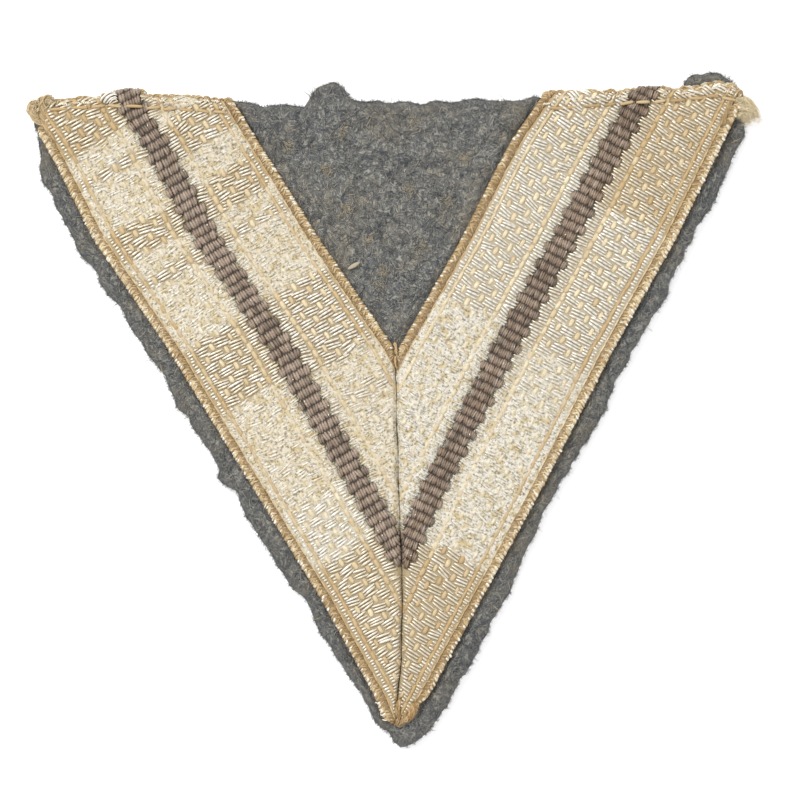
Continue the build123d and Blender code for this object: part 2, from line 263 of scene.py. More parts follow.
# Smooth noise from -1 to 1: random heights on a square grid, a cell apart, joined by smooth steps.
def softNoise(x, y, cell, seed):
    heights = np.random.default_rng(seed).uniform(-1, 1, (256, 256))
    u, v = np.asarray(x) / cell + 500, np.asarray(y) / cell + 500
    column, row = np.floor(u).astype(int), np.floor(v).astype(int)
    a, b = u - column, v - row
    a, b = a * a * (3 - 2 * a), b * b * (3 - 2 * b)

    def at(i, j):
        return heights[(column + i) % 256, (row + j) % 256]

    return (at(0, 0) * (1 - a) + at(1, 0) * a) * (1 - b) + (at(0, 1) * (1 - a) + at(1, 1) * a) * b


# The two end shares of a path are closer together than the rest, so that a tube's ends come out round.
def roundEnds(stations):
    share = np.linspace(-1, 1, stations)
    return np.sign(share) * (1 - (1 - np.abs(share)) ** 1.6)


# The half width of a round-ended thread, as a share: the fourth power keeps it full till near its ends.
def threadTaper(share):
    return np.sqrt(np.clip(1 - share ** 4, 0, 1)) * 0.9 + 0.1


# A table's second column at a place of its first column, or between its rows by straight lines.
def readTable(table, place):
    return np.interp(place, table[:, 0], table[:, 1])


# A level line's edges at y: x of the outer edge, the stripe and the inner edge.
def armEdges(arm, y):
    rows = arm["rows"][::-1]
    return [np.interp(y, rows[:, 0], rows[:, k]) for k in (1, 2, 3)]


# The height of the braid's top above its underside at an offset from the stripe.
def braidHeight(across):
    return readTable(braidSection, np.abs(across))


# From a place on the flat ribbon (sideways, outwards positive, and down along the stripe from the hem
# line at y = 39) to x and y before folding. The threads cross the arm square to its middle line.
def ribbonPlace(arm, across, along):
    rows = arm["rows"]
    slope = (rows[-2, 2] - rows[1, 2]) / (rows[-2, 0] - rows[1, 0])
    down = np.array([-slope, -1.0]) / np.hypot(slope, 1.0)
    run = np.hypot(np.diff(rows[:, 0]), np.diff(rows[:, 2]))
    travelled = np.concatenate([[0.0], np.cumsum(run)]) - run[0]
    middleY = np.interp(along, travelled, rows[:, 0])
    y = middleY - np.abs(down[0]) * across
    outer, middle, inner = armEdges(arm, y)
    x = middle + np.where(across > 0, outer - middle, middle - inner) * across / halfBraid
    return x, y


# The bend line, where the braid's top end starts to turn about the fold's middle.
def bendLine(arm, x):
    return readTable(arm["fold"], x) - levels["foldRadius"]


# From x, unfolded y and height above the braid's underside to the real place. Past the bend the
# surface turns about the fold's middle, and half a turn on it runs back underneath.
def foldOver(arm, x, y, height):
    radius = levels["foldRadius"]
    bend = bendLine(arm, x)
    climb = np.interp(y, (levels["climbFoot"], levels["climbTop"]), (0.0, levels["climb"]))
    turn = np.clip((y - bend) / radius, 0, np.pi)
    back = np.maximum(y - bend - np.pi * radius, 0)
    out = radius + height - levels["braid"]
    foldedY = np.where(y > bend, bend + out * np.sin(turn) - back, y)
    z = np.where(y > bend, levels["foldMiddle"] + out * np.cos(turn), levels["feltTop"] + climb + height)
    return x, foldedY, z


# The seam's x at y for one arm: its own side of the thin gap, with the small waver of hand sewing.
def seamEdge(arm, y):
    waver = 0.05 * np.sin(y * 0.9) + 0.04 * np.sin(y * 2.3 + 1.0)
    return np.interp(y, seam["y"], seam["x"]) + waver + arm["outward"] * seam["gap"] / 2


# The outer top corner's limit of x at y. Below the corner it is out of the way.
def cornerEdge(arm, y):
    corner = arm["corner"]
    return np.where(y > corner[0, 0], readTable(corner, y), arm["outward"] * 99.0)


# How far a place is inside the slanting cut at the tip.
def tipRoom(arm, x, y):
    (cutX, cutY), (inX, inY) = arm["tipCut"]
    return (x - cutX) * inX + (y - cutY) * inY


# How far inside an arm a place is, in mm: the least of its distances to the seam, the outer corner's
# slanting end and the cut at the tip.
def inside(arm, across, along):
    x, y = ribbonPlace(arm, across, along)
    outward = arm["outward"]
    return np.minimum.reduce([
        (x - seamEdge(arm, y)) * outward, (cornerEdge(arm, y) - x) * outward, tipRoom(arm, x, y),
    ])


# Which places lie on the part of the ribbon that shows, up to just past the top of the fold.
def onShow(arm, across, along):
    x, y = ribbonPlace(arm, across, along)
    return y < bendLine(arm, x) + levels["foldRadius"] * 2.3


# The finished place of points of the ribbon. Low waves pucker the cloth, the hem's stitches draw it
# in by a bell curve, and so does the seam. What would pass the seam or the corner is held there.
def onBraid(arm, across, along, height):
    x, y = ribbonPlace(arm, across, along)
    puckers = 0.05 * np.sin(along * 0.42 + across * 0.11) + 0.05 * softNoise(x, y, 6.0, 3)
    stitchY = readTable(arm["stitches"], x)
    drawnIn = 0.24 * np.exp(-((y - stitchY) / 0.45) ** 2)
    firm = np.clip(height / 0.6, 0, 1)
    swell = 0.10 * softNoise(x, 0 * x, 1.1, 13) * np.clip((y - stitchY) / 0.6, 0, 1)
    x, y, z = foldOver(arm, x, y, height + firm * (puckers - drawnIn + swell))
    outward = arm["outward"]
    edge = seamEdge(arm, y)
    within = np.maximum((x - edge) * outward, 0)
    dip = seam["depth"] * np.exp(-(within / seam["shoulder"]) ** 2)
    z = z - dip * np.clip(height, 0, 1)
    x = np.where((x - edge) * outward < 0, edge, x)
    limit = cornerEdge(arm, y)
    x = np.where((x - limit) * outward > 0, limit, x)
    over = np.minimum(tipRoom(arm, x, y), 0)
    inX, inY = arm["tipCut"][1]
    return np.stack([x - over * inX, np.maximum(y - over * inY, seam["tipEnd"] - 0.3), z], axis=-1)


# How crisp and how tarnished the weave is at a place, from 0 to 1: the last band that covers it counts.
def bandsAt(name, across, along):
    crisp = np.zeros(np.shape(along))
    tarnish = np.full(np.shape(along), arms[name]["soil"])
    ragged = along + 0.45 * softNoise(across, along, 1.6, 11) + 0.25 * softNoise(across, along, 0.5, 12)
    for start, end, half, crispness, tarnished in crispBands[name]:
        inBand = (ragged > start) & (ragged < end) & ((half == 0) | (across * half > 0))
        crisp = np.where(inBand, crispness, crisp)
        tarnish = np.where(inBand, tarnished, tarnish)
    return crisp, tarnish


# Shader building. A Signal is a number or colour in a material, and sums on it add Math nodes.
class Signal:
    def __init__(self, finish, socket):
        self.finish = finish
        self.socket = socket

    def worked(self, operation, first, second):
        return self.finish.node("ShaderNodeMath", {"operation": operation}, {0: first, 1: second})

    def __add__(self, other):
        return self.worked("ADD", self, other)

    __radd__ = __add__

    def __rsub__(self, other):
        return self.worked("SUBTRACT", other, self)

    def __mul__(self, other):
        return self.worked("MULTIPLY", self, other)

    __rmul__ = __mul__

    def __mod__(self, other):
        return self.worked("FLOORED_MODULO", self, other)


class Finish:
    def __init__(self, name, roughness):
        self.material = bpy.data.materials.new(name)
        self.material.use_nodes = True
        self.tree = self.material.node_tree
        self.surface = self.tree.nodes["Principled BSDF"]
        self.surface.inputs["Roughness"].default_value = roughness

    # Any node: its settings come first, then the values or links of its sockets.
    def node(self, kind, settings, sockets, output=0):
        made = self.tree.nodes.new(kind)
        for key, value in settings.items():
            if key == "stops":
                while len(made.color_ramp.elements) < len(value):
                    made.color_ramp.elements.new(0.5)
                for element, (place, colour) in zip(made.color_ramp.elements, value):
                    element.position = place
                    element.color = (*colour, 1)
            else:
                setattr(made, key, value)
        for key, value in sockets.items():
            if isinstance(value, Signal):
                self.tree.links.new(value.socket, made.inputs[key])
            else:
                made.inputs[key].default_value = value
        return Signal(self, made.outputs[output])

    def attribute(self, name):
        return self.node("ShaderNodeAttribute", {"attribute_name": name}, {}, "Fac")

    # Places on the object in millimetres.
    def places(self):
        places = self.node("ShaderNodeTexCoord", {}, {}, "Object")
        return self.node("ShaderNodeMapping", {}, {"Vector": places, "Scale": (1000, 1000, 1000)})

    # Places turned in the plane, then stretched: a pattern read from them is so many millimetres long
    # and wide. Soft noise pushes the places about first, so that the pattern curls.
    def streaks(self, places, turn, long, wide, curl=0.0):
        if curl:
            sockets = {"Vector": places, "Scale": 0.7, "Detail": 1.0}
            bends = self.node("ShaderNodeTexNoise", {}, sockets, "Color")
            pushed = self.node("ShaderNodeVectorMath", {"operation": "SCALE"}, {0: bends, "Scale": curl})
            places = self.node("ShaderNodeVectorMath", {"operation": "ADD"}, {0: places, 1: pushed})
        sockets = {"Vector": places, "Rotation": (0, 0, turn), "Scale": (long, wide, wide)}
        return self.node("ShaderNodeMapping", {"vector_type": "TEXTURE"}, sockets)

    def noise(self, where, scale, detail=2.0, roughness=0.5):
        sockets = {"Vector": where, "Scale": scale, "Detail": detail, "Roughness": roughness}
        return self.node("ShaderNodeTexNoise", {}, sockets, "Fac")

    def blend(self, share, first, second, kind="MIX"):
        first, second = [c if isinstance(c, Signal) else (*c, 1) for c in (first, second)]
        settings = {"data_type": "RGBA", "blend_type": kind}
        return self.node("ShaderNodeMix", settings, {0: share, 6: first, 7: second}, 2)

    def ramp(self, value, *stops):
        stops = [(place, tone if hasattr(tone, "__len__") else (tone,) * 3) for place, tone in stops]
        return self.node("ShaderNodeValToRGB", {"stops": stops}, {0: value})

    def into(self, socket, value):
        self.tree.links.new(value.socket, self.surface.inputs[socket])

    def finished(self, colour, height=None, strength=0.3, distance=0.05):
        self.into("Base Color", colour)
        if height is not None:
            sockets = {"Height": height, "Strength": strength, "Distance": distance * mm}
            self.into("Normal", self.node("ShaderNodeBump", {}, sockets))
        return self.material


# Braid under painted glare: blotches of white, cream, yellow and a faint blush, with finer darker
# grains on them.
glareTones = {
    "yellow": (0.60, 0.48, 0.27), "cream": (0.67, 0.60, 0.45), "white": (0.80, 0.77, 0.70),
    "blush": (0.66, 0.55, 0.42), "grain": (0.36, 0.345, 0.305), "blotches": 1.1, "grains": 2.7,
}


def glareColour(finish, places, soil):
    tones = glareTones
    blotches = finish.noise(places, tones["blotches"], 3.0, 0.65)
    stops = ((0.34, tones["yellow"]), (0.44, tones["cream"]), (0.51, tones["white"]), (0.60, tones["white"]))
    tint = finish.blend(soil * 0.6, finish.ramp(blotches, *stops, (0.68, tones["blush"])), tones["yellow"])
    grains = finish.noise(places, tones["grains"], 3.0, 0.7)
    specks = finish.ramp(grains, (0.37, tones["grain"]), (0.48, (0.87, 0.86, 0.83)), (0.59, 1.0))
    return finish.blend(1.0, tint, specks, "MULTIPLY")


# Silver thread: foil wound on a core, so that bright glints follow each other along it, with tan
# between them; the glints are painted highlights in its colour. Grey in its darker strands, gold where
# tarnished, darker on its underside and at its ends as painted shade, and granular where painted glare
# lies on it.
silverTones = {
    "clean": (0.95, 0.925, 0.86), "worn": (0.76, 0.71, 0.60), "greyBetween": (0.61, 0.57, 0.475),
    "tanBetween": (0.53, 0.43, 0.275), "tarnished": (0.58, 0.455, 0.26), "glintPitch": 0.80,
    "metallic": 0.42, "roughness": 0.38,
}


def silverFinish():
    tones = silverTones
    finish = Finish("silver thread", tones["roughness"])
    shade, tarnish, wash = (finish.attribute(key) for key in ("shade", "tarnish", "wash"))
    places = finish.places()
    turned = (finish.attribute("run") % tones["glintPitch"]) * (1 / tones["glintPitch"])
    lit = finish.ramp(turned, (0.0, 0.0), (0.16, 0.0), (0.32, 1.0), (0.82, 1.0), (0.96, 0.0))
    shine = 1 - finish.attribute("glint") * (1 - lit)
    between = finish.blend(tarnish, tones["greyBetween"], tones["tanBetween"])
    bright = finish.blend(shade, tones["clean"], tones["worn"])
    thread = finish.blend(shine, between, bright)
    aged = finish.blend(tarnish * 0.50, thread, tones["tarnished"])
    # Low on the crest the thread goes to the between tone: painted shade.
    top = finish.ramp(finish.attribute("crest"), (0.06, 0.0), (0.46, 1.0))
    crestShaded = finish.blend(top, between, aged)
    colour = finish.blend(wash, crestShaded, glareColour(finish, places, tarnish))
    finish.into("Metallic", tones["metallic"] * (1 - 0.85 * wash))
    wire = finish.noise(places, 9.0, 2.0)
    return finish.finished(colour, wire, 0.3, 0.03)


# Yellow warp thread: pale gold, darker tan where it is old or pressed in, and orange by its rust.
# Its underside and ends go to the deep tone, which is painted shade, and it turns blotched where
# painted glare lies on it.
yellowTones = {
    "pale": (0.85, 0.76, 0.53), "tan": (0.52, 0.365, 0.18), "brown": (0.25, 0.15, 0.06),
    "deep": (0.33, 0.225, 0.10), "orange": (0.52, 0.31, 0.115), "roughness": 0.65,
}


def yellowFinish():
    tones = yellowTones
    finish = Finish("yellow thread", tones["roughness"])
    shade, wash = finish.attribute("shade"), finish.attribute("wash")
    places = finish.places()
    mottle = finish.noise(places, 2.6, 3.0, 0.65)
    mixed = finish.ramp(shade * 0.5, (0.0, tones["pale"]), (0.5, tones["tan"]), (0.85, tones["brown"]))
    patchy = finish.blend(finish.ramp(mottle, (0.45, 0.0), (0.72, 0.65)), mixed, tones["tan"])
    # Low on the crest the thread goes to the deep tone: painted shade.
    top = finish.ramp(finish.attribute("crest"), (0.03, 0.0), (0.32, 1.0))
    crestShaded = finish.blend(top, tones["deep"], finish.blend(finish.attribute("rust"), patchy, tones["orange"]))
    colour = finish.blend(wash, crestShaded, glareColour(finish, places, shade * 0.5))
    ply = finish.noise(places, 6.0, 2.0)
    return finish.finished(colour, ply, 0.45, 0.08)


# The cloth between the threads: tan and grey where the weave is crisp, blotched cream where painted
# glare lies on it.
groundTones = {
    "grey": (0.52, 0.465, 0.36), "tan": (0.44, 0.345, 0.20), "selvage": (0.27, 0.18, 0.08),
    "roughness": 0.8,
}


def groundFinish():
    tones = groundTones
    finish = Finish("braid ground", tones["roughness"])
    places = finish.places()
    mottle = finish.noise(places, 2.2, 4.0, 0.7)
    tarnish = finish.attribute("tarnish")
    woven = finish.blend(tarnish, tones["grey"], tones["tan"])
    cloth = finish.blend(finish.attribute("crisp"), glareColour(finish, places, tarnish), woven)
    colour = finish.blend(finish.attribute("edge"), cloth, tones["selvage"])
    grains = finish.noise(places, 3.6, 4.0, 0.7)
    return finish.finished(colour, mottle + grains, 0.6, 0.12)


# Brown silk: each bead has a lighter crest, which is a painted highlight, and a dark foot going to the
# gap tone, which is painted shade, with the fine lines of its fibres. The attribute tarnish makes it
# rusty, and the attribute rust marks the bright specks.
brownTones = {
    "light": (0.325, 0.250, 0.192), "dark": (0.095, 0.069, 0.049), "rust": (0.215, 0.138, 0.083),
    "gap": (0.040, 0.024, 0.014), "speck": (0.95, 0.90, 0.80), "roughness": 0.55, "sheen": 0.04,
}


def brownFinish():
    tones = brownTones
    finish = Finish("brown silk", tones["roughness"])
    finish.surface.inputs["Sheen Weight"].default_value = tones["sheen"]
    silk = finish.blend(finish.attribute("shade"), tones["light"], tones["dark"])
    warm = finish.blend(finish.attribute("tarnish"), silk, tones["rust"])
    warm = finish.blend(finish.attribute("rust"), warm, tones["speck"])
    fibres = finish.noise(finish.streaks(finish.places(), 0.5, 0.5, 0.16), 1.0, 3.0, 0.6)
    lined = finish.blend(1.0, warm, finish.ramp(fibres, (0.3, 0.62), (0.7, 1.3)), "MULTIPLY")
    crest = finish.attribute("crest")
    # The crest ramp lightens each bead's top as a painted highlight and darkens its foot as painted shade.
    rounded = finish.ramp(crest, (0.30, 0.40), (0.72, 0.85), (0.98, 1.40))
    highlitSilk = finish.blend(1.0, lined, rounded, "MULTIPLY")
    colour = finish.blend(finish.ramp(crest, (0.02, 0.0), (0.36, 1.0)), tones["gap"], highlitSilk)
    return finish.finished(colour, fibres, 0.6, 0.10)


# Wool felt: dark blue-grey, with thin pale fibres that curl over it in three directions, and browner
# where it is soiled. The rim, and a strip along the braid's edges, are darker: painted shade.
feltTones = {
    "deep": (0.061, 0.065, 0.071), "blue": (0.110, 0.118, 0.130), "grey": (0.167, 0.165, 0.151),
    "pale": (0.40, 0.385, 0.33), "soiled": (0.31, 0.265, 0.185), "rim": 0.62,
    "roughness": 0.95, "sheen": 0.10, "sheenRoughness": 0.6,
}


def feltFinish():
    tones = feltTones
    finish = Finish("wool felt", tones["roughness"])
    finish.surface.inputs["Sheen Weight"].default_value = tones["sheen"]
    finish.surface.inputs["Sheen Roughness"].default_value = tones["sheenRoughness"]
    places = finish.places()
    body = finish.noise(places, 1.1, 4.0, 0.7)
    wool = finish.ramp(body, (0.36, tones["deep"]), (0.47, tones["blue"]), (0.60, tones["grey"]))
    hairs = None
    for turn in (0.15, 1.2, 2.25):
        strands = finish.noise(finish.streaks(places, turn, 1.5, 0.22, 1.6), 1.0, 1.0)
        strands = finish.ramp(strands, (0.52, 0.0), (0.66, 1.0))
        hairs = strands if hairs is None else hairs.worked("MAXIMUM", hairs, strands)
    matted = finish.blend(hairs * 0.75, wool, tones["pale"])
    dirt = finish.ramp(finish.noise(places, 0.13, 4.0, 0.7), (0.46, 0.0), (0.62, 0.75))
    soiled = finish.blend(dirt * (0.35 + 0.65 * hairs), matted, tones["soiled"])
    shaded = finish.ramp(finish.attribute("rim"), (0.0, 1.0), (1.0, tones["rim"]))
    colour = finish.blend(1.0, soiled, shaded, "MULTIPLY")
    return finish.finished(colour, hairs + body, 0.8, 0.22)


# Loose fibres take their own tint: nought is blue, one is straw. The tones belong to these tints.
fibreTones = {
    "tints": (
        (0.0, (0.050, 0.064, 0.092)), (0.3, (0.115, 0.122, 0.130)), (0.6, (0.23, 0.23, 0.215)),
        (0.85, (0.42, 0.40, 0.34)), (1.0, (0.60, 0.47, 0.28)),
    ),
    "mottle": (0.06, 0.065, 0.07), "roughness": 0.9,
}


def fibreFinish():
    tones = fibreTones
    finish = Finish("wool fibre", tones["roughness"])
    colour = finish.ramp(finish.attribute("tint"), *tones["tints"])
    mottle = finish.noise(finish.places(), 1.5)
    return finish.finished(finish.blend(mottle * 0.3, colour, tones["mottle"]))


silver = silverFinish()
yellow = yellowFinish()
ground = groundFinish()
brown = brownFinish()
felt = feltFinish()
fibre = fibreFinish()
print("finishes made")

# The felt's cut edge. Columns: y, x. Then its top edge. Columns: x, y. Then the radius of its rim, how
# deep its fray reaches, and its heights: on top, at the rim's middle, under the braid and, from some y
# on, under the hems.
feltForm = {
    "left": np.array([
        (-45.05, 1.2), (-44.5, 0.3), (-42.9, -0.5), (-41.3, -2.3), (-38.1, -4.3), (-34.9, -6.3),
        (-31.7, -8.1), (-28.5, -10.1), (-25.3, -11.7), (-23.7, -13.5), (-20.5, -15.1), (-17.3, -17.3),
        (-14.1, -19.7), (-10.9, -21.0), (-9.3, -23.1), (-7.7, -23.2), (-4.5, -25.3), (-1.3, -26.9),
        (0.3, -28.7), (3.5, -29.9), (8.3, -33.2), (13.1, -36.1), (17.9, -39.5), (22.7, -42.7),
        (27.5, -45.1), (30.7, -46.7), (35.5, -47.2), (38.7, -47.9), (40.3, -47.8),
    ]),
    "right": np.array([
        (-45.05, 1.8), (-44.5, 3.1), (-42.9, 4.9), (-39.7, 7.1), (-33.3, 10.9), (-25.3, 15.1),
        (-17.3, 18.7), (-9.3, 22.9), (-1.3, 27.6), (6.7, 31.7), (14.7, 36.3), (22.7, 40.1),
        (30.7, 44.4), (37.1, 47.2), (39.1, 47.4), (40.3, 47.0), (41.4, 46.2),
    ]),
    "top": np.array([
        (-47.8, 40.5), (-46.2, 41.0), (-21.6, 41.2), (-16.3, 40.7), (-11.5, 40.9), (-10.9, 42.2),
        (-10.2, 43.1), (-9.2, 43.6), (-7.6, 43.8), (-6.7, 43.3), (-6.0, 42.0), (-5.5, 41.1), (1.5, 41.2),
        (5.1, 40.9), (11.5, 41.5), (21.5, 41.7), (38.8, 42.2), (39.6, 44.2), (40.4, 44.8), (41.6, 45.0),
        (44.0, 45.0), (44.9, 44.3), (45.7, 43.0), (46.4, 41.4),
    ]),
    "rows": 168, "columns": 172, "round": 1.1, "frayDepth": 0.8,
    "thickness": 2.0, "middle": 0.9, "underBraid": 1.9, "hemFrom": 36.2, "hemHollow": 1.12,
}


# How far a point lies under the braid, in mm: the least distance to an edge of either arm, below
# nought outside. It is measured along x or y, and the edges' lean makes it shorter.
def underBraid(x, y):
    depths = []
    for arm in arms.values():
        outer, middle, inner = armEdges(arm, y)
        outward = arm["outward"]
        fold = readTable(arm["fold"], x)
        sides = [
            (outer - x) * outward, (x - inner) * outward, (x - seamEdge(arm, y)) * outward + 0.6,
            (cornerEdge(arm, y) - x) * outward, fold - 0.4 - y,
        ]
        depths.append(np.minimum.reduce(sides) * leanShare)
    return np.maximum(*depths)


# How far the matted wool stands above the cut cloth.
def feltPile(x, y):
    return 0.20 * softNoise(x, y, 1.5, 7) + 0.12 * softNoise(x, y, 0.65, 8) + 0.22


# How far the cut edge strays to and fro.
def feltFray(x, y):
    return 0.34 * softNoise(x, y, 1.9, 5) + 0.20 * softNoise(x, y, 0.9, 6)


# The felt: rows rise from the tip to the top edge, and columns share each row between the two cut
# edges, closer together at the edges. Its top is matted wool, rounded over at the rim by a quarter
# circle. It is pressed flat under the braid and hollowed under the two hems.
def makeFelt():
    form = feltForm
    share = np.linspace(0, 1, form["columns"])
    share = 0.6 * share + 0.4 * (0.5 - 0.5 * np.cos(np.pi * share))
    rise = np.linspace(0, 1, form["rows"])[:, None]
    rise = 0.75 * rise + 0.25 * (1 - (1 - rise) ** 2.2)
    low, high = form["left"][0, 0], form["left"][-1, 0]
    topX = form["top"][0, 0] + (form["top"][-1, 0] - form["top"][0, 0]) * share
    topY = readTable(form["top"], topX)
    y = low + (topY - low) * rise
    left = readTable(form["left"], y)
    right = readTable(form["right"], y)
    x = left + (right - left) * share
    toLeft, toRight, toTop = x - left, right - x, topY - y
    fray, fading = feltFray(x, y), form["frayDepth"]
    x = x - fray * np.exp(-toLeft / fading) + fray * np.exp(-toRight / fading)
    y = y + fray * np.exp(-toTop / fading) * (y > 30)
    toTip = (y - low) * 1.5
    inwards = np.minimum.reduce([toLeft * leanShare, toRight * leanShare, toTop + 0 * x, toTip])
    curve = np.sqrt(np.clip(1 - (1 - np.clip(inwards / form["round"], 0, 1)) ** 2, 0, 1))
    pile = feltPile(x, y)
    under = underBraid(x, y)
    pressed = np.clip(under / 0.8 + 0.5, 0, 1)
    hollow = (under > 0.3) & (y > form["hemFrom"])
    top = form["thickness"] + pile * (1 - pressed) - (form["thickness"] - form["underBraid"]) * pressed
    top = np.where(hollow, form["hemHollow"], top)
    middle = form["middle"]
    upperZ = middle + (top - middle) * curve
    upperZ = np.where(under > 0.3, np.minimum(upperZ, top), upperZ)
    upper = np.stack([x, y, upperZ], axis=-1)
    lower = np.stack([x, y, np.minimum(middle - middle * curve, upperZ - 0.2)], axis=-1)
    # The rim value darkens the felt near its cut edge and just outside the braid's edges: painted shade.
    rim = np.clip(1.3 - inwards / 1.6, 0, 1) + 0.6 * (np.abs(under + 0.25) < 0.3)
    shape = closedSheet(upper, lower, rim=np.clip(rim, 0, 1))
    piece = makePiece("feltBacking", shape, felt)
    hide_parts("felt_backing")
    return piece


# How many fibres there are, how thick and how long. Flecks of pale fluff lie at these places, each of so
# many fibres within its size, and a straw husk and a hair at the last two.
feltNap = {
    "onTop": 6400, "radius": 0.036, "length": (0.7, 2.2),
    "onEdge": 11500, "edgeRadius": 0.030, "edgeLength": (0.28, 0.80),
    "flecks": np.array([
        (-8.8, 32.0), (-5.9, 26.8), (2.8, 38.5), (2.3, 29.6), (7.5, 27.9), (-3.1, 22.8), (-1.2, 18.5),
        (-1.6, 16.8), (-14.0, 35.2), (9.6, 33.6), (-6.6, 36.9), (4.2, 21.9),
    ]),
    "fleckSize": 0.42, "fleckFibres": 70, "husk": (-5.1, 19.3), "hair": (0.9, 19.5),
}


# Curled fibres that lie on the felt: each starts at a place and a heading, turns steadily as it goes
# (its heading is the start plus bend times the share of its length), and its height is an arch.
def curledFibres(x, y, z, heading, length, arch, radius, tint, curl=1.2, stations=5):
    share = np.linspace(0, 1, stations)
    direction = heading[:, None] + chance.normal(0, curl, len(x))[:, None] * share
    step = (length / (stations - 1))[:, None]
    alongX = np.cumsum(np.cos(direction) * step, axis=1) - np.cos(direction[:, :1]) * step
    alongY = np.cumsum(np.sin(direction) * step, axis=1) - np.sin(direction[:, :1]) * step
    height = z[:, None] + arch[:, None] * np.sin(np.pi * share) ** 0.8
    paths = np.stack([x[:, None] + alongX, y[:, None] + alongY, height], axis=-1)
    return tubes(paths, radius[:, None], radius[:, None], 3, tint=tint)


# Tints of loose wool: blues and greys, many pale, a few straw.
def woolTints(count):
    kind = chance.uniform(0, 1, count)
    return np.interp(kind, (0, 0.25, 0.55, 0.85, 0.97, 1.0), (0.0, 0.25, 0.5, 0.74, 0.86, 1.0))


def fleckFibres():
    nap = feltNap
    places = np.repeat(nap["flecks"], nap["fleckFibres"], axis=0)
    count = len(places)
    x, y = (places + chance.normal(0, nap["fleckSize"], places.shape)).T
    heading = chance.uniform(0, 2 * np.pi, count)
    z = feltForm["thickness"] + feltPile(x, y) + chance.uniform(-0.02, 0.10, count)
    radius = chance.uniform(0.025, 0.05, count)
    tint = chance.uniform(0.80, 1.0, count)
    length, arch = chance.uniform(0.3, 0.9, count), np.full(count, 0.10)
    return curledFibres(x, y, z, heading, length, arch, radius, tint, 2.5)


# A straw husk is a short leaf, widest in its middle, and a loop of hair is part of an ellipse.
def huskAndHair():
    huskX, huskY = feltNap["husk"]
    hairX, hairY = feltNap["hair"]
    share = np.linspace(0, 1, 12)
    huskHeight = 2.48 + 0.1 * np.sin(3 * share)
    husk = np.stack([huskX - 0.85 + 1.7 * share, huskY - 0.55 + 1.0 * share, huskHeight], -1)
    angle = np.pi + 4.0 * share
    hair = np.stack([hairX + 0.62 * np.cos(angle), hairY + 0.70 * np.sin(angle), 2.55 + 0 * share], -1)
    husks = tubes(husk[None], 0.30 * np.sin(np.pi * share) ** 0.7 + 0.02, 0.10, 6, tint=np.array([0.93]))
    return together([husks, tubes(hair[None], 0.045, 0.045, 4, tint=np.array([0.92]))])


# Fibres on the felt that shows. More places are drawn than needed, and those on bare felt are kept.
def makeNap():
    count = feltNap["onTop"] * 8
    x, y = chance.uniform(-48, 48, count), chance.uniform(-45, 45, count)
    left = readTable(feltForm["left"], y)
    right = readTable(feltForm["right"], y)
    top = readTable(feltForm["top"], x)
    bare = (x > left + 1.1) & (x < right - 1.1) & (y < top - 0.8) & (underBraid(x, y) < -0.35)
    x, y = x[bare][: feltNap["onTop"]], y[bare][: feltNap["onTop"]]
    count = len(x)
    heading = chance.uniform(0, 2 * np.pi, count)
    length = chance.uniform(*feltNap["length"], count)
    radius = feltNap["radius"] * chance.uniform(0.7, 1.3, count)
    # Fibres near the left and right edges sit lower and are tinted darker: painted shade, as on the felt's
    # rim.
    rimDropAndShade = np.clip(1 - np.minimum.reduce([x - left[bare][:count], right[bare][:count] - x]), 0, 1)
    z = 1.99 + feltPile(x, y) + chance.uniform(-0.06, 0.06, count) - 0.35 * rimDropAndShade
    tint = np.clip(woolTints(count) - 0.25 * rimDropAndShade, 0, 1)
    nap = curledFibres(x, y, z, heading, length, chance.uniform(0, 0.22, count), radius, tint)
    return makePiece("feltNap", together([nap, fleckFibres(), huskAndHair()]), fibre)


# Fibres that stand out of the cut edge, each from a place along it, outwards with some scatter. The
# route runs round the whole edge, and places under the braid are left out.
def makeEdgeFuzz():
    count = feltNap["onEdge"]
    form = feltForm
    route = np.concatenate([form["left"][:, ::-1], form["top"][1:], form["right"][::-1, ::-1]])
    run = np.concatenate([[0], np.cumsum(np.hypot(*np.diff(route, axis=0).T))])
    place = chance.uniform(0, run[-1], count)
    x, y = np.interp(place, run, route[:, 0]), np.interp(place, run, route[:, 1])
    ahead = np.interp(place + 0.3, run, route[:, 0]) - x, np.interp(place + 0.3, run, route[:, 1]) - y
    outwards = np.arctan2(ahead[1], ahead[0]) + np.pi / 2
    heading = outwards + chance.normal(0, 0.85, count)
    stray = feltFray(x, y) - 0.20
    x, y = x + stray * np.cos(outwards), y + stray * np.sin(outwards)
    bare = underBraid(x, y) < 0.3
    x, y, heading = x[bare], y[bare], heading[bare]
    count = len(x)
    length = chance.uniform(*feltNap["edgeLength"], count) ** 1.3
    radius = feltNap["edgeRadius"] * chance.uniform(0.7, 1.3, count)
    z = chance.uniform(0.3, 1.8, count)
    tint = woolTints(count) * 0.85
    fuzz = curledFibres(x, y, z, heading, length, chance.uniform(-0.1, 0.2, count), radius, tint, 2.8, 4)
    return makePiece("feltEdgeFuzz", fuzz, fibre)


feltPiece = makeFelt()
napPiece = makeNap()
fuzzPiece = makeEdgeFuzz()
print("felt made")
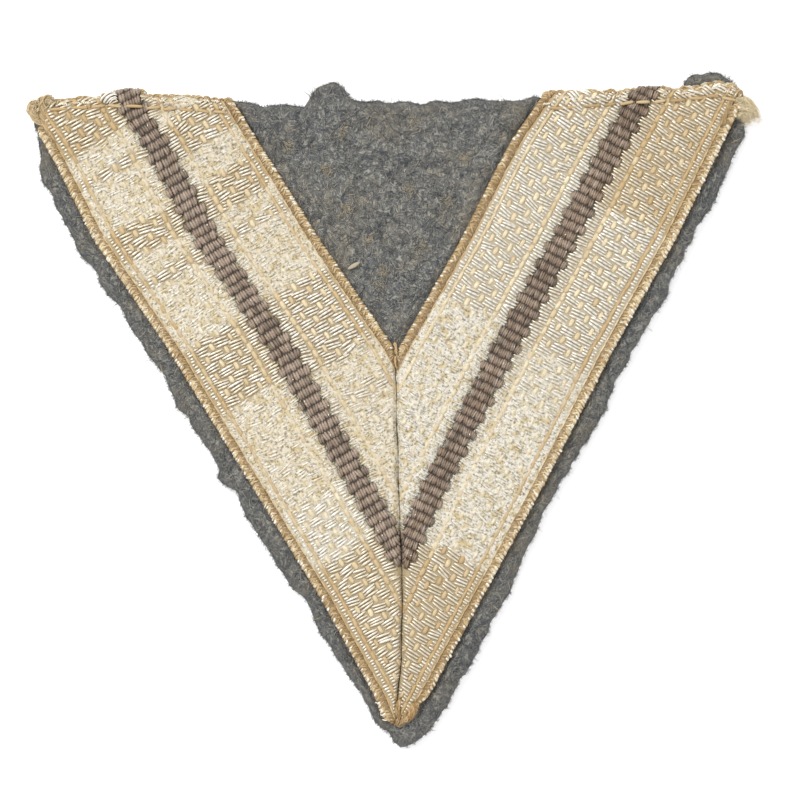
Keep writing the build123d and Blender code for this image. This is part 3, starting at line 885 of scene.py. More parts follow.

# The weave, in rows down the arm with so many silver picks to a row.
# Silver floats across the arm, at each side of the stripe. Columns: from, to, which rows (2 is every row).
# Yellow warp beads. Columns: offset, half width, half length, height, which rows, shade.
# Values for the outer and the inner half of each arm: how much darker the tan line and the furrow by
# the selvage are, how much the picks slope, and how much older the picks beside the stripe look. Those
# picks start nearer and farther in turns, by the stagger.
# How the picks differ by chance: where they end, the slope and the place of a block of them, their own
# slope and place, how much more they stray where painted glare lies on the weave, and their least and
# greatest width.
weave = {
    "rowPitch": 1.285, "picks": 3, "firstRow": -9, "lastRow": 92,
    "floats": [
        (1.50, 3.18, 2), (3.62, 5.78, 0), (3.62, 4.60, 1), (6.30, 8.72, 0), (4.96, 7.28, 1),
        (9.02, 9.87, 0), (7.76, 9.87, 1), (10.26, 10.98, 2),
    ],
    "beads": [
        (3.41, 0.34, 0.70, 0.05, 2, 0.32), (4.78, 0.30, 0.62, 0.06, 1, 0.10),
        (6.04, 0.33, 0.64, 0.06, 0, 0.05), (7.52, 0.33, 0.64, 0.06, 1, 0.05),
        (8.87, 0.30, 0.62, 0.06, 0, 0.12), (10.06, 0.26, 0.80, 0.07, 2, 0.45),
        (11.18, 0.13, 0.74, 0.02, 2, 0.45),
    ],
    "tanLine": {"Left": (0.20, 0.10), "Right": (0.50, -0.15)},
    "furrow": {"Left": (0.0, 0.0), "Right": (-0.15, 0.45)},
    "sag": {"Left": (-0.01, 0.05), "Right": (0.07, -0.05)},
    "oldest": {"Left": (0.10, 0.0), "Right": (0.35, 0.0)},
    "pickWidth": 0.170, "pickHeight": {"Left": 0.085, "Right": 0.115}, "fullHeight": 0.115,
    "stagger": 0.27, "endSpread": 0.11, "blockSlope": 0.08, "blockDrift": 0.03, "slopeSpread": 0.055,
    "drift": 0.025, "looseDrift": 0.055, "widths": (0.86, 1.12),
}


# Threads in ribbon places: a straight middle line from one end to the other, raised in the middle by
# its bow times one minus the square of the share, and a ring about it that tapers at both ends, the
# more so the more pointed it is. An end beyond the seam, the corner or the tip's cut is brought back to
# it, by its share of the distance.
def ribbonThreads(
    arm, start, end, height, bow, halfWidth, halfHeight, sides, stations, pointed=0.0, **values
):
    atStart, atEnd = inside(arm, *start.T), inside(arm, *end.T)
    shift = np.where(atStart < 0, -atStart / np.maximum(atEnd - atStart, 1e-6), 0)[:, None]
    cut = np.where(atEnd < 0, -atEnd / np.maximum(atStart - atEnd, 1e-6), 0)[:, None]
    start, end = start + (end - start) * shift, end + (start - end) * cut
    middle, reach = (start + end) / 2, (end - start) / 2
    keep = (np.maximum(atStart, atEnd) > 0) & (np.hypot(*reach.T) > 0.06) & onShow(arm, *middle.T)
    share = roundEnds(stations)
    flat = middle[keep, None] + reach[keep, None] * share[:, None]
    rise = height[keep, None] + bow[keep, None] * (1 - share ** 2)
    paths = np.concatenate([flat, rise[..., None]], axis=-1)
    taper = threadTaper(share) * (1 - pointed * share ** 2)
    if "run" in values:
        phase = values["run"][:, None]
        values["run"] = phase + np.hypot(*reach.T)[:, None] * (share + 1)
    values = {key: value[keep] for key, value in values.items()}
    shape = tubes(paths, halfWidth[keep, None] * taper, halfHeight[keep, None] * taper, sides, **values)
    across, along, above = shape["points"].T
    shape["points"] = onBraid(arm, across, along, above)
    return shape


# Both ends of threads that reach from one offset to another, and along the arm from so much before a
# place to so much after it.
def slantedEnds(inner, outer, along, slant, side=1):
    first = np.stack([inner * side, along - slant], axis=-1)
    last = np.stack([outer * side, along + slant], axis=-1)
    return first, last


# Every row of the weave for kind 2, or else the even rows for 0 and the odd ones for 1.
def chosenRows(kind):
    rows = np.arange(weave["firstRow"], weave["lastRow"])
    return rows if kind == 2 else rows[rows % 2 == kind]


# Of a pair of values, the one for the outer or the inner half of an arm.
def halfOf(pair, side):
    return pair[0 if side > 0 else 1]


# How crisp the weave is at a place, and what a silver thread is like there: how dark, tarnished,
# covered by painted glare and broken into painted glints. Its run says where along it the glints start.
def silverValues(name, arm, across, along):
    crisp, tarnish = bandsAt(name, across, along)
    count = len(along)
    glint = arm["glint"] * np.where(along > oldFrom, 0.5, 1.0)
    return crisp, {
        "shade": np.clip(chance.beta(1.2, 3.2, count), 0, 1),
        "tarnish": np.clip(tarnish * chance.uniform(0.3, 1.5, count) + chance.normal(0, 0.05, count), 0, 1),
        "wash": np.clip((1 - crisp) * chance.uniform(0.75, 1.05, count), 0, 1),
        "glint": np.clip(glint * chance.uniform(0.7, 1.1, count), 0, 1),
        "run": chance.uniform(0, 3, count),
    }


# Silver picks: three to a row in each float's block, with a little hand in their length, tilt and level.
# Where painted glare lies on the weave they lie lower and less in line. The first float's picks lie
# beside the stripe, and past its end they start at the middle.
def silverPicks(name, arm):
    shapes = []
    for start, end, kind in weave["floats"]:
        for side in (-1, 1):
            rows, picks = np.meshgrid(chosenRows(kind), np.arange(weave["picks"]), indexing="ij")
            rows, picks = rows.ravel(), picks.ravel()
            along = (rows + (picks + 0.5) / weave["picks"]) * weave["rowPitch"] + arm["phase"]
            count = len(along)
            inner = start + chance.normal(0, weave["endSpread"], count)
            if start < 2:
                inner = inner + side * weave["stagger"] * np.where(rows % 2, 1, -1)
                inner = np.where(ribbonPlace(arm, 0 * along, along)[1] < ribbing["lowest"] - 0.4, 0.1, inner)
            outer = end + chance.normal(0, weave["endSpread"], count)
            middle = (inner + outer) / 2
            crisp, values = silverValues(name, arm, middle * side, along)
            loose = 1 - crisp
            blocks = chance.normal(0, 1, (2, count // weave["picks"]))
            blockSlope, blockDrift = blocks.repeat(weave["picks"], axis=1)
            older = halfOf(weave["oldest"][name], side) * (start < 2)
            values["tarnish"] = np.clip(values["tarnish"] + older, 0, 1)
            sag = halfOf(weave["sag"][name], side)
            slope = sag + weave["blockSlope"] * blockSlope + chance.normal(0, weave["slopeSpread"], count)
            tilt = slope * (outer - inner) / 2 + chance.normal(0, 0.09 * loose, count)
            stray = chance.normal(0, weave["drift"] + weave["looseDrift"] * loose, count)
            drift = along + weave["blockDrift"] * blockDrift + stray
            nearer = inner + loose * chance.uniform(0, 0.2, count)
            farther = outer - loose * chance.uniform(0, 0.2, count)
            first, last = slantedEnds(nearer, farther, drift, tilt, side)
            length = outer - inner
            height = braidHeight(middle) - 0.03 - 0.05 * loose + chance.normal(0, 0.015, count)
            bow = 0.05 + 0.08 * length * (1 - 0.7 * loose) * weave["pickHeight"][name] / weave["fullHeight"]
            width = weave["pickWidth"] * chance.uniform(*weave["widths"], count) * (1 + 0.10 * loose)
            tall = weave["pickHeight"][name] * (1 - 0.3 * loose)
            shapes.append(ribbonThreads(arm, first, last, height, bow, width, tall, 5, 6, **values))
    return shapes


# The selvages. Cords: from, to, pitch, slant and its spread, half width, height, shade and its spread.
# A place for a glint has so many threads, which are so much plumper. The last two tables have a value
# for the outer and the inner edge: how much darker its threads are, and how many of the places for a
# glint have one.
edging = {
    "cords": [
        (11.28, 11.86, 0.27, -0.12, 0.07, 0.120, 0.70, 1.10, 0.30),
        (11.66, 12.50, 0.235, 0.20, 0.06, 0.140, 0.80, 0.50, 0.28),
        (11.50, 12.25, 0.62, -0.20, 0.08, 0.130, 0.86, 0.45, 0.25),
        (11.95, 12.52, 0.47, 0.16, 0.09, 0.130, 0.86, 0.35, 0.28),
    ],
    "ribPitch": 0.857, "glintPitch": {"Left": 0.857, "Right": 0.61},
    "glintThreads": {"Left": 2, "Right": 1}, "plumper": {"Left": 0.0, "Right": 0.03},
    "darker": {"Left": (0.30, 0.45), "Right": (0.25, 0.70)},
    "glints": {"Left": (0.55, 0.45), "Right": (0.9, 0.4)},
}


# Silver glints along both edges of the ribbon: short plump slanting threads, alone or in pairs.
def edgeLoops(name, arm):
    shapes = []
    for side in (-1, 1):
        share = halfOf(edging["glints"][name], side)
        along = np.arange(-8, 118, edging["glintPitch"][name])
        along = np.concatenate([along, along + 0.36])[: len(along) * edging["glintThreads"][name]]
        along = (along + chance.normal(0, 0.07, len(along)))[chance.uniform(0, 1, len(along)) < share]
        count = len(along)
        slant = chance.normal(0.12, 0.05, count)
        outer = 12.50 + chance.normal(0, 0.06, count)
        inner = outer - chance.uniform(0.32, 0.6, count)
        first, last = slantedEnds(inner, outer, along, slant, side)
        height, bow = 0.88 + chance.normal(0, 0.04, count), np.full(count, 0.08)
        wide = chance.uniform(0.13, 0.19, count) + edging["plumper"][name]
        values = silverValues(name, arm, outer * side, along)[1]
        values["wash"] = values["wash"] * 0.2
        values["glint"] = values["glint"] * 0.3
        values["tarnish"] = np.clip(chance.beta(1.4, 1.8, count), 0, 1)
        shapes.append(ribbonThreads(arm, first, last, height, bow, wide, wide, 6, 6, **values))
    return shapes


# Yellow warp beads stand a little above the silver, one to a row or to every second row. Those beyond
# an offset of 10 are the tan line and the furrow's threads.
def warpBeads(name, arm):
    shapes = []
    for offset, halfWidth, halfLength, above, kind, tone in weave["beads"]:
        for side in (-1, 1):
            along = (chosenRows(kind) + 0.5) * weave["rowPitch"] + arm["phase"]
            more = halfOf(weave["tanLine" if offset < 11 else "furrow"][name], side) * (offset > 10)
            count = len(along)
            across = offset + chance.normal(0, 0.025, count)
            crisp, tarnish = bandsAt(name, across * side, along)
            lean = chance.normal(0, 0.03, count)
            reach = halfLength * chance.uniform(0.90, 1.05, count)
            first, last = slantedEnds(across - lean, across + lean, along, reach, side)
            height = braidHeight(offset) + above - 0.12 + chance.normal(0, 0.02, count) - 0.05 * (1 - crisp)
            wide = halfWidth * chance.uniform(0.8, 1.15, count)
            tall = np.full(count, 0.15)
            shade = np.clip(tone + more + 0.45 * tarnish + chance.normal(0, 0.16, count), 0, 1)
            # Where the weave is not crisp, the beads take part of the painted glare.
            wash = np.clip(1 - crisp, 0, 1) * (0.2 if offset > 10 else 0.3 if offset < 4 else 0.55)
            shapes.append(ribbonThreads(
                arm, first, last, height, np.full(count, 0.07), wide, tall, 6, 6, shade=shade, wash=wash,
            ))
    return shapes


# The sewn selvages: cords of short threads laid across both edges at slants that differ. They swell
# into ribs, which are paler on top as a painted highlight. The inner selvage is darker.
def selvageThreads(name, arm):
    shapes = []
    for side in (-1, 1):
        for start, end, pitch, slanting, loose, halfWidth, level, tone, spread in edging["cords"]:
            along = np.arange(-8, 118, pitch)
            wander = 0.25 * softNoise(along, 0 * along + side, 1.7, 22)
            rib = np.cos(2 * np.pi * (along + wander) / edging["ribPitch"])
            along = along + chance.normal(0, 0.25 * pitch, len(along))
            count = len(along)
            slant = slanting + chance.normal(0, loose, count)
            inner = start + chance.normal(0, 0.08, count)
            outer = end + chance.normal(0, 0.06, count) + 0.05 * rib
            first, last = slantedEnds(inner, outer, along, slant, side)
            height = level + 0.05 * rib + chance.normal(0, 0.05, count)
            wide = halfWidth * chance.uniform(0.7, 1.25, count)
            warmth = 0.35 * softNoise(along, 0 * along + side, 2.2, 21)
            warmth = warmth + 0.4 * np.clip((along - oldFrom) / 6, 0, 1)
            warmth = warmth + halfOf(edging["darker"][name], side)
            # Each rib's top is paler than its sides: painted highlight.
            shade = np.clip(tone - 0.15 * rib + chance.normal(0, spread, count) + warmth, 0, 2.0)
            # Some threads take a little painted glare by chance.
            wash = np.clip(chance.normal(0.0, 0.18, count), 0, 0.6)
            tall, bow = np.full(count, 0.12), np.full(count, 0.14)
            shapes.append(ribbonThreads(
                arm, first, last, height, bow, wide, tall, 5, 6, 0.15, shade=shade, wash=wash,
            ))
    return shapes


# The cloth's grid, how far it sinks where the weave is crisp, and the y where its flap ends.
braidGround = {"rows": 230, "columns": 29, "sink": 0.04, "flapEnd": 36.5}


# The first and last places along each line of the ribbon that lie on the arm, found on a fine ladder
# of places: from where the turned-under flap ends to the seam or the tip's cut.
def reachAlong(arm, across, flapEnd):
    ladder = np.linspace(-12, 125, 2750)
    x, y = ribbonPlace(arm, across[:, None], ladder)
    within = np.minimum((x - seamEdge(arm, y)) * arm["outward"], y - seam["tipEnd"]) > 0
    last = ladder[len(ladder) - 1 - np.argmax(within[:, ::-1], axis=1)]
    bend = bendLine(arm, x)
    first = ladder[np.argmax(y - bend < np.pi * levels["foldRadius"] + bend - flapEnd, axis=1)]
    return first, last


# The cloth under the threads, as one closed sheet: its upper grid follows the braid's section, runs
# from the end of the turned-under flap over the fold and down to the seam, and its lower grid is the
# underside. It sinks between crisp threads, and stands up unevenly where painted glare lies on the weave.
def makeGround(name, arm):
    across = np.unique(np.concatenate([
        -braidSection[:, 0], braidSection[:, 0], np.linspace(-12.5, 12.5, braidGround["columns"]),
    ]))
    first, last = reachAlong(arm, across, braidGround["flapEnd"])
    share = np.linspace(0, 1, braidGround["rows"])[:, None]
    along = first + (last + 0.4 - first) * share
    spread = across + 0 * along
    crisp, tarnish = bandsAt(name, spread, along)
    warm = np.clip(tarnish + 0.5 * arm["warmth"], 0, 1)
    edge = np.clip((np.abs(spread) - 11.2) / 0.2, 0, 1) * 0.9
    field = np.clip((11.1 - np.abs(spread)) / 0.3, 0, 1) * np.clip((np.abs(spread) - 1.8) / 0.3, 0, 1)
    fluff = braidGround["sink"] + 0.035 * softNoise(spread, along, 0.9, 15)
    raised = (1 - crisp) * field * fluff - braidGround["sink"]
    upper = onBraid(arm, spread, along, braidHeight(spread) + raised)
    lower = onBraid(arm, spread, along, 0 * spread)
    shape = closedSheet(upper, lower, crisp=crisp, edge=edge, tarnish=warm)
    piece = makePiece("braidCloth" + name, shape, ground)
    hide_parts("braid_" + name.lower())
    cutArea = float(np.mean(last - first)) * 2 * halfBraid
    return piece, cutArea, float(np.max(last) - np.min(first))


# The stripe's beads: how many to a row and the width that they share, how far the rows step aside, how
# much wider than their share they are, half their length, how pointed they are, the height of their
# tops, half their thickness, the top of the flat base, how much darker their ends and slopes are, which
# is painted shade, how many bright specks lie on them, and the lowest y with beads.
ribbing = {
    "beads": {"Left": 4, "Right": 5}, "width": 3.0, "stagger": 0.29, "overlap": 1.42, "halfLength": 0.77,
    "pointed": 0.60, "top": 1.38, "tall": 0.28, "base": 1.08, "endShade": 0.55, "slopeShade": 0.18,
    "specks": 22, "lowest": -20.9,
}


# The brown stripe: rows of beads of silk that step from side to side, on a flat base that is painted
# in the dark gap tone as shade between the beads. Each bead is two strands side by side, pointed at both
# ends, so that the rows' ends fit between each other.
def makeStripe(name, arm):
    ribs = ribbing
    beadCount = ribs["beads"][name]
    pitch = ribs["width"] / beadCount
    rows, beads, strands = np.meshgrid(np.arange(-5, 92), np.arange(beadCount), (-1, 1), indexing="ij")
    rows, beads, strands = rows.ravel(), beads.ravel(), strands.ravel()
    count = len(rows)
    shared = chance.normal(0, 1, (4, count // 2)).repeat(2, axis=1)
    along = (rows + 0.5) * weave["rowPitch"] + arm["phase"] + 0.03 * shared[0] + chance.normal(0, 0.03, count)
    sway = ribs["stagger"] * np.where(rows % 2, 1, -1)
    across = (beads + 0.5 - beadCount / 2 + 0.22 * strands) * pitch + sway + 0.025 * shared[1]
    seen = ribbonPlace(arm, across, along)[1] > ribs["lowest"]
    lean = (0.05 + 0.07 * shared[2] - 0.03 * strands + chance.normal(0, 0.03, count)) * seen
    reach = ribs["halfLength"] * chance.uniform(0.92, 1.06, count) * seen
    first, last = slantedEnds(across - lean, across + lean, along, reach)
    tall = np.full(count, ribs["tall"])
    height = ribs["top"] - 1.75 * ribs["tall"] + chance.normal(0, 0.035, count)
    bow = np.full(count, 0.80 * ribs["tall"])
    wide = pitch / 4 * ribs["overlap"] * chance.uniform(0.85, 1.12, count)
    rowTone = np.random.default_rng(31).normal(0, 0.13, 200)[rows + 10]
    tone = arm["stripeShade"] + rowTone + 0.14 * shared[3] + chance.normal(0, 0.20, count)
    share = roundEnds(7)
    # The shade grows towards each bead's ends and towards its end further along the arm: painted shade.
    shade = np.clip(tone[:, None] + ribs["endShade"] * share ** 2 + ribs["slopeShade"] * share, 0, 1)
    rust = np.clip(chance.normal(arm["rust"], 0.28, count), 0, 0.8)
    shape = ribbonThreads(
        arm, first, last, height, bow, wide, tall, 6, 7, ribs["pointed"], shade=shade, tarnish=rust,
    )
    start, end = reachAlong(arm, np.array([0.0]), 41.0)
    steps = np.linspace(start[0], end[0] - 0.6, 150)[:, None]
    strip = np.linspace(-1.18, 1.18, 7) + 0 * steps
    # The base gets a low crest, so the finish paints it mostly in the dark gap tone: painted shade.
    base = closedSheet(
        onBraid(arm, strip, steps, 0 * strip + ribs["base"]), onBraid(arm, strip, steps, 0 * strip + 0.60),
        crest=0.10, shade=0.8,
    )
    specks = chance.choice(count, ribs["specks"], replace=False)
    spot = np.stack([across[specks], along[specks] + chance.normal(0, 0.3, ribs["specks"])], axis=-1)
    lean = chance.normal(0, 0.05, ribs["specks"])
    reach = np.stack([lean, chance.uniform(0.06, 0.13, ribs["specks"])], axis=-1)
    small = np.full(ribs["specks"], 0.06)
    glints = ribbonThreads(
        arm, spot - reach, spot + reach, small + ribs["top"] - 0.06, small, small, small, 5, 5,
        rust=small * 0 + 1,
    )
    piece = makePiece("brownStripe" + name, together([shape, base, glints]), brown)
    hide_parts("stripe_" + name.lower())
    return piece


# Places on a curve drawn by a few places, at each share of it: the places added by Bernstein's weights.
def curveAt(places, share):
    places = np.array(places, float)
    degree = len(places) - 1
    weights = [math.comb(degree, k) * share ** k * (1 - share) ** (degree - k) for k in range(degree + 1)]
    return np.einsum("k...,kc->...c", np.array(weights), places)


# A yarn: fine strands that run together along such a curve, each at its own reach from the middle,
# turning about it by the twist, waving a little, and further out at the frayed end.
def yarn(places, count, spread, fray, twist, radius, shades, stations=9, sides=4):
    share = np.linspace(0, 1, stations)
    middle = curveAt(places, share * chance.uniform(0.82, 1.0, count)[:, None])
    forward = np.gradient(middle, axis=1)
    forward /= np.linalg.norm(forward, axis=2, keepdims=True) + 1e-12
    side = np.cross(forward, (0.0, 0.0, 1.0))
    lift = np.cross(side, forward)
    angle = chance.uniform(0, 2 * np.pi, count)[:, None] + twist * share
    reach = spread * np.sqrt(chance.uniform(0.02, 1, count))[:, None] * (1 + fray * share ** 2)
    wander = chance.normal(0, 0.05 + 0.1 * fray, (count, 1, 3)) * share[:, None] ** 2
    phase = chance.uniform(0, 2 * np.pi, (count, 1, 3))
    wander = wander + 0.34 * spread * np.sin(chance.uniform(4, 11, (count, 1, 1)) * share[:, None] + phase)
    turned = np.cos(angle)[..., None] * side + 0.8 * np.sin(angle)[..., None] * lift
    paths = middle + reach[..., None] * turned
    girth = chance.uniform(*radius, count)[:, None] * (1 - 0.45 * share ** 4)
    shade = np.clip(chance.uniform(*shades, count)[:, None] - 0.25 * fray * share, 0, 2)
    return tubes(paths + wander, girth, girth, sides, shade=shade)


# Loose fibres that stand out of such a yarn all round and curl: each is a bent line from a place on it.
def frizz(places, count, spread, length, tone):
    share = chance.uniform(0.25, 1, count)
    out = chance.normal(0, 1, (count, 3)) * (1, 1, 0.6)
    out /= np.linalg.norm(out, axis=1, keepdims=True)
    start = curveAt(places, share) + out * spread * chance.uniform(0.3, 0.9, count)[:, None]
    bend = chance.normal(0, 1, (count, 3)) * (1, 1, 0.4)
    steps = np.linspace(0, 1, 5)[:, None]
    reach = (length * chance.uniform(0.3, 1, count))[:, None, None]
    paths = start[:, None] + reach * (out[:, None] * steps + 0.45 * bend[:, None] * steps ** 2)
    paths[..., 2] = np.clip(paths[..., 2], 1.9, 3.7)
    girth = chance.uniform(0.018, 0.032, count)[:, None]
    shape = tubes(paths, girth, girth, 3, shade=chance.uniform(0, tone, count))
    shape["crest"] = np.maximum(shape["crest"], 0.4)
    return shape


# A small ball of wound fuzz, a little flat. Each fibre starts somewhere on the ball and goes round an
# axis that leans by chance: the middle plus its reach times (cosine x start + sine x the way round).
def fuzzBall(middle, radius, count, lean, turn, shades):
    start = chance.normal(0, 1, (count, 3))
    start /= np.linalg.norm(start, axis=1, keepdims=True)
    way = np.cross(chance.normal(0, lean, (count, 3)) + (0, 0, 1), start)
    way /= np.linalg.norm(way, axis=1, keepdims=True) + 1e-9
    angle = (turn * chance.uniform(0.4, 1, count))[:, None, None] * np.linspace(0, 1, 7)[:, None]
    reach = (radius * chance.uniform(0.45, 1.12, count))[:, None, None]
    paths = middle + reach * (np.cos(angle) * start[:, None] + np.sin(angle) * way[:, None]) * (1, 1, 0.65)
    paths[..., 2] = np.clip(paths[..., 2], 1.9, 3.7)
    girth = chance.uniform(0.03, 0.075, count)[:, None]
    return tubes(paths, girth, girth, 4, shade=chance.uniform(*shades, count))


# The hem: its stitches' radius, length, gaps, and shade with its spread. Then the pitch of the bumps on
# its fold and of the clusters of silver, with their least and greatest shade and tarnish.
hem = {
    "stitchRadius": 0.23, "stitchLength": (1.6, 2.5), "stitchGap": (0.25, 0.5), "stitchShade": (0.95, 0.16),
    "bumpPitch": 0.95, "bumpShade": (0.6, 1.2),
    "clusterPitch": 1.15, "clusterShade": (0, 0.7), "clusterTarnish": (0.4, 1.5),
}


# Bumps of soft yarn along the folded top edge, each an arch, but for where the stripe goes over it.
def foldBumps(name, arm):
    low, high = arm["ends"]
    x = np.arange(low, high, hem["bumpPitch"])
    x = x + chance.normal(0, 0.14, len(x))
    x = x[np.abs(x - arm["stripeCap"]) > 1.9]
    shapes = []
    for middle in x:
        reach = chance.uniform(0.5, 0.8)
        top = float(bendLine(arm, middle)) + levels["foldRadius"] + chance.uniform(-0.08, 0.22)
        places = [
            (middle - reach, top - 0.9, 2.95), (middle - 0.5 * reach, top + 0.1, 2.75),
            (middle + 0.5 * reach, top + 0.1, 2.75), (middle + reach, top - 0.9, 3.0),
        ]
        tone = chance.uniform(*hem["bumpShade"])
        shapes.append(yarn(places, 14, 0.22, 0.1, 1.5, (0.04, 0.08), (tone - 0.4, tone + 0.4), 8, 4))
    return shapes


# Between the fold and the stitches, clusters of four short silver threads at the slant of the cloth's
# other face. They are placed in unfolded x and y, then folded.
def foldClusters(name, arm):
    low, high = arm["ends"]
    x = np.arange(low, high, hem["clusterPitch"])
    x = np.repeat(x + chance.normal(0, 0.2, len(x)), 4)
    count = len(x)
    x = x + np.tile((-0.36, -0.12, 0.12, 0.36), count // 4)
    away = np.abs(x - arm["stripeCap"]) > 1.75
    stitchY = readTable(arm["stitches"], x)
    y = stitchY + np.repeat(chance.uniform(0.55, 1.5, count // 4), 4)
    slant = arm["outward"] * chance.normal(0.75, 0.18, count)
    reach = chance.uniform(0.22, 0.36, count)
    share = roundEnds(6)
    pathX = x[:, None] + (np.sin(slant) * reach)[:, None] * share
    pathY = y[:, None] + (np.cos(slant) * reach)[:, None] * share
    rise = 0.98 + 0.07 * (1 - share ** 2) + 0 * pathX
    girth = 0.10 * threadTaper(share) + 0 * pathX
    keep = away & (chance.uniform(0, 1, count) < 0.85)
    values = {
        "shade": chance.uniform(*hem["clusterShade"], count)[keep],
        "tarnish": chance.uniform(*hem["clusterTarnish"], count)[keep],
        "glint": np.full(count, 0.2)[keep], "run": chance.uniform(0, 1, count)[keep],
    }
    paths = np.stack([pathX, pathY, rise], axis=-1)[keep]
    shape = tubes(paths, girth[keep], girth[keep], 5, **values)
    shape["points"] = np.stack(foldOver(arm, *shape["points"].T), axis=-1)
    return shape


# The hem's running stitches: short lengths of tan thread end to end, over the braid and the stripe.
def hemStitches(name, arm):
    route = arm["stitches"]
    gaps = chance.uniform(*hem["stitchGap"], 30)
    lengths = chance.uniform(*hem["stitchLength"], 30)
    starts = route[0, 0] + np.cumsum(gaps + lengths) - lengths
    used = starts < route[-1, 0] - 1.0
    starts, lengths = starts[used], lengths[used]
    share = roundEnds(9)
    x = starts[:, None] + lengths[:, None] * (share + 1) / 2
    slope = chance.normal(0.0, 0.10, len(starts))[:, None]
    y = readTable(route, x) + slope * share
    stripeAt = arm["stripeCap"] - arm["outward"] * 0.9
    onStripe = np.exp(-((x - stripeAt) / 1.8) ** 6)
    height = 0.84 + 0.12 * (1 - share ** 2) + 0.42 * onStripe
    radius = hem["stitchRadius"] * threadTaper(share)
    shade = np.clip(chance.normal(*hem["stitchShade"], len(starts)), 0, 1.5)
    shape = tubes(np.stack([x, y, height], axis=-1), radius, radius, 6, shade=shade)
    shape["points"] = np.stack(foldOver(arm, *shape["points"].T), axis=-1)
    return shape


# Loose silver wires: a loop beside the left stripe's cap, one near the right corner, and turns round
# the cloth at the tip, where each is a single wire. Columns: x, y, z of each place that draws the wire.
looseWires = {
    "Left": [
        [(-38.9, 40.9, 3.2), (-38.6, 41.9, 3.6), (-37.2, 42.9, 3.5), (-36.6, 42.0, 3.2)],
        [(-38.5, 40.8, 3.2), (-38.2, 41.7, 3.7), (-37.0, 42.6, 3.6), (-36.5, 41.7, 3.2)],
        [(-38.1, 40.7, 3.2), (-37.8, 41.5, 3.7), (-36.9, 42.2, 3.6), (-36.5, 41.4, 3.2)],
        [(-37.7, 40.7, 3.2), (-37.4, 41.3, 3.6), (-36.9, 41.8, 3.5), (-36.6, 41.1, 3.2)],
        [(-2.25, -38.9, 2.6), (-1.9, -39.1, 3.05), (-1.3, -39.2, 2.95)],
        [(-1.75, -39.9, 2.6), (-1.4, -40.1, 3.05), (-0.8, -40.1, 2.95)],
        [(-1.60, -40.6, 2.6), (-1.0, -40.9, 3.10), (0.0, -40.7, 2.95)],
        [(-1.40, -41.2, 2.6), (-0.7, -41.5, 3.10), (0.2, -41.2, 2.95)],
    ],
    "Right": [
        [(42.6, 42.5, 3.1), (43.0, 43.6, 3.4), (43.8, 43.6, 3.3), (44.0, 42.7, 3.1)],
    ],
}


def wireShapes(name):
    shapes = []
    for places in looseWires[name]:
        atTip = places[0][1] < 0
        wire = yarn(places, 1 if atTip else 3, 0.09, 0.0, 1.0, (0.07, 0.11), (0.0, 0.3), 9, 6)
        wire["tarnish"] = np.full(len(wire["points"]), 0.25)
        shapes.append(wire)
    return shapes


for name, arm in arms.items():
    cloth, cutArea, cutLength = makeGround(name, arm)
    silverShapes = silverPicks(name, arm) + edgeLoops(name, arm)
    silverShapes += [foldClusters(name, arm)] + wireShapes(name)
    silverPiece = makePiece("silverWeft" + name, together(silverShapes), silver)
    yellowShapes = warpBeads(name, arm) + foldBumps(name, arm) + [hemStitches(name, arm)]
    yellowPiece = makePiece("yellowWarp" + name, together(yellowShapes), yellow)
    selvage = makePiece("selvage" + name, together(selvageThreads(name, arm)), yellow)
    stripePiece = makeStripe(name, arm)
    print("braid", name, "made")

# Frayed ends, knots and the rolled tip. Each bundle is places (x, y, z) that draw its curve, then the
# number of strands, spread, fray, twist, thread radius and range of shades.
tufts = {
    "Left": [
        ([(-45.6, 38.0, 2.9), (-47.4, 37.8, 3.0), (-49.3, 40.2, 3.1), (-47.8, 42.0, 3.1), (-46.8, 40.4, 3.0)],
         70, 0.42, 0.2, 5.0, (0.03, 0.06), (0.2, 1.0)),
        ([(-45.8, 38.6, 2.9), (-47.0, 39.6, 3.1), (-47.4, 42.4, 3.3), (-44.9, 42.3, 3.2), (-45.4, 40.2, 2.9)],
         70, 0.40, 0.2, 5.0, (0.03, 0.06), (0.2, 1.0)),
        ([(-46.8, 39.9, 3.1), (-46.4, 38.4, 3.3), (-45.6, 36.9, 3.2), (-44.7, 35.4, 3.0)],
         70, 0.34, 0.1, 5.0, (0.03, 0.07), (0.5, 1.3)),
    ],
    "Right": [
        ([(45.6, 41.0, 2.9), (46.8, 41.9, 3.1), (47.7, 41.4, 3.0), (48.8, 38.8, 2.8)],
         110, 0.42, 0.4, 1.0, (0.025, 0.05), (0.0, 0.2)),
        ([(45.8, 40.2, 2.9), (47.0, 40.8, 3.1), (48.1, 40.0, 3.0), (48.6, 38.6, 2.7)],
         110, 0.42, 0.4, 1.0, (0.025, 0.05), (0.0, 0.2)),
        ([(45.8, 39.2, 2.8), (46.8, 39.7, 3.0), (47.6, 39.0, 2.8), (47.2, 38.2, 2.5)],
         80, 0.40, 0.5, 1.0, (0.025, 0.05), (0.0, 0.35)),
        ([(43.9, 37.6, 3.0), (44.7, 39.8, 3.2), (45.2, 41.8, 3.3), (45.8, 42.4, 3.0)],
         60, 0.30, 0.1, 4.0, (0.03, 0.07), (0.7, 1.5)),
    ],
}
# Loose fibres about each bundle: how many, how far from it they start, their length, and the darkest
# shade.
tuftFrizz = {"Left": (150, 0.50, 0.45, 0.8), "Right": (240, 0.50, 0.60, 0.2), "Tip": (110, 0.45, 0.25, 1.3)}
# The least crest of each tuft's threads, which keeps the crest's painted shade off them, and how orange
# its threads are.
tuftLight = {"Left": 0.36, "Right": 0.38}
tuftRust = {"Left": 0.03, "Right": 0.10, "Knot": 0.55}
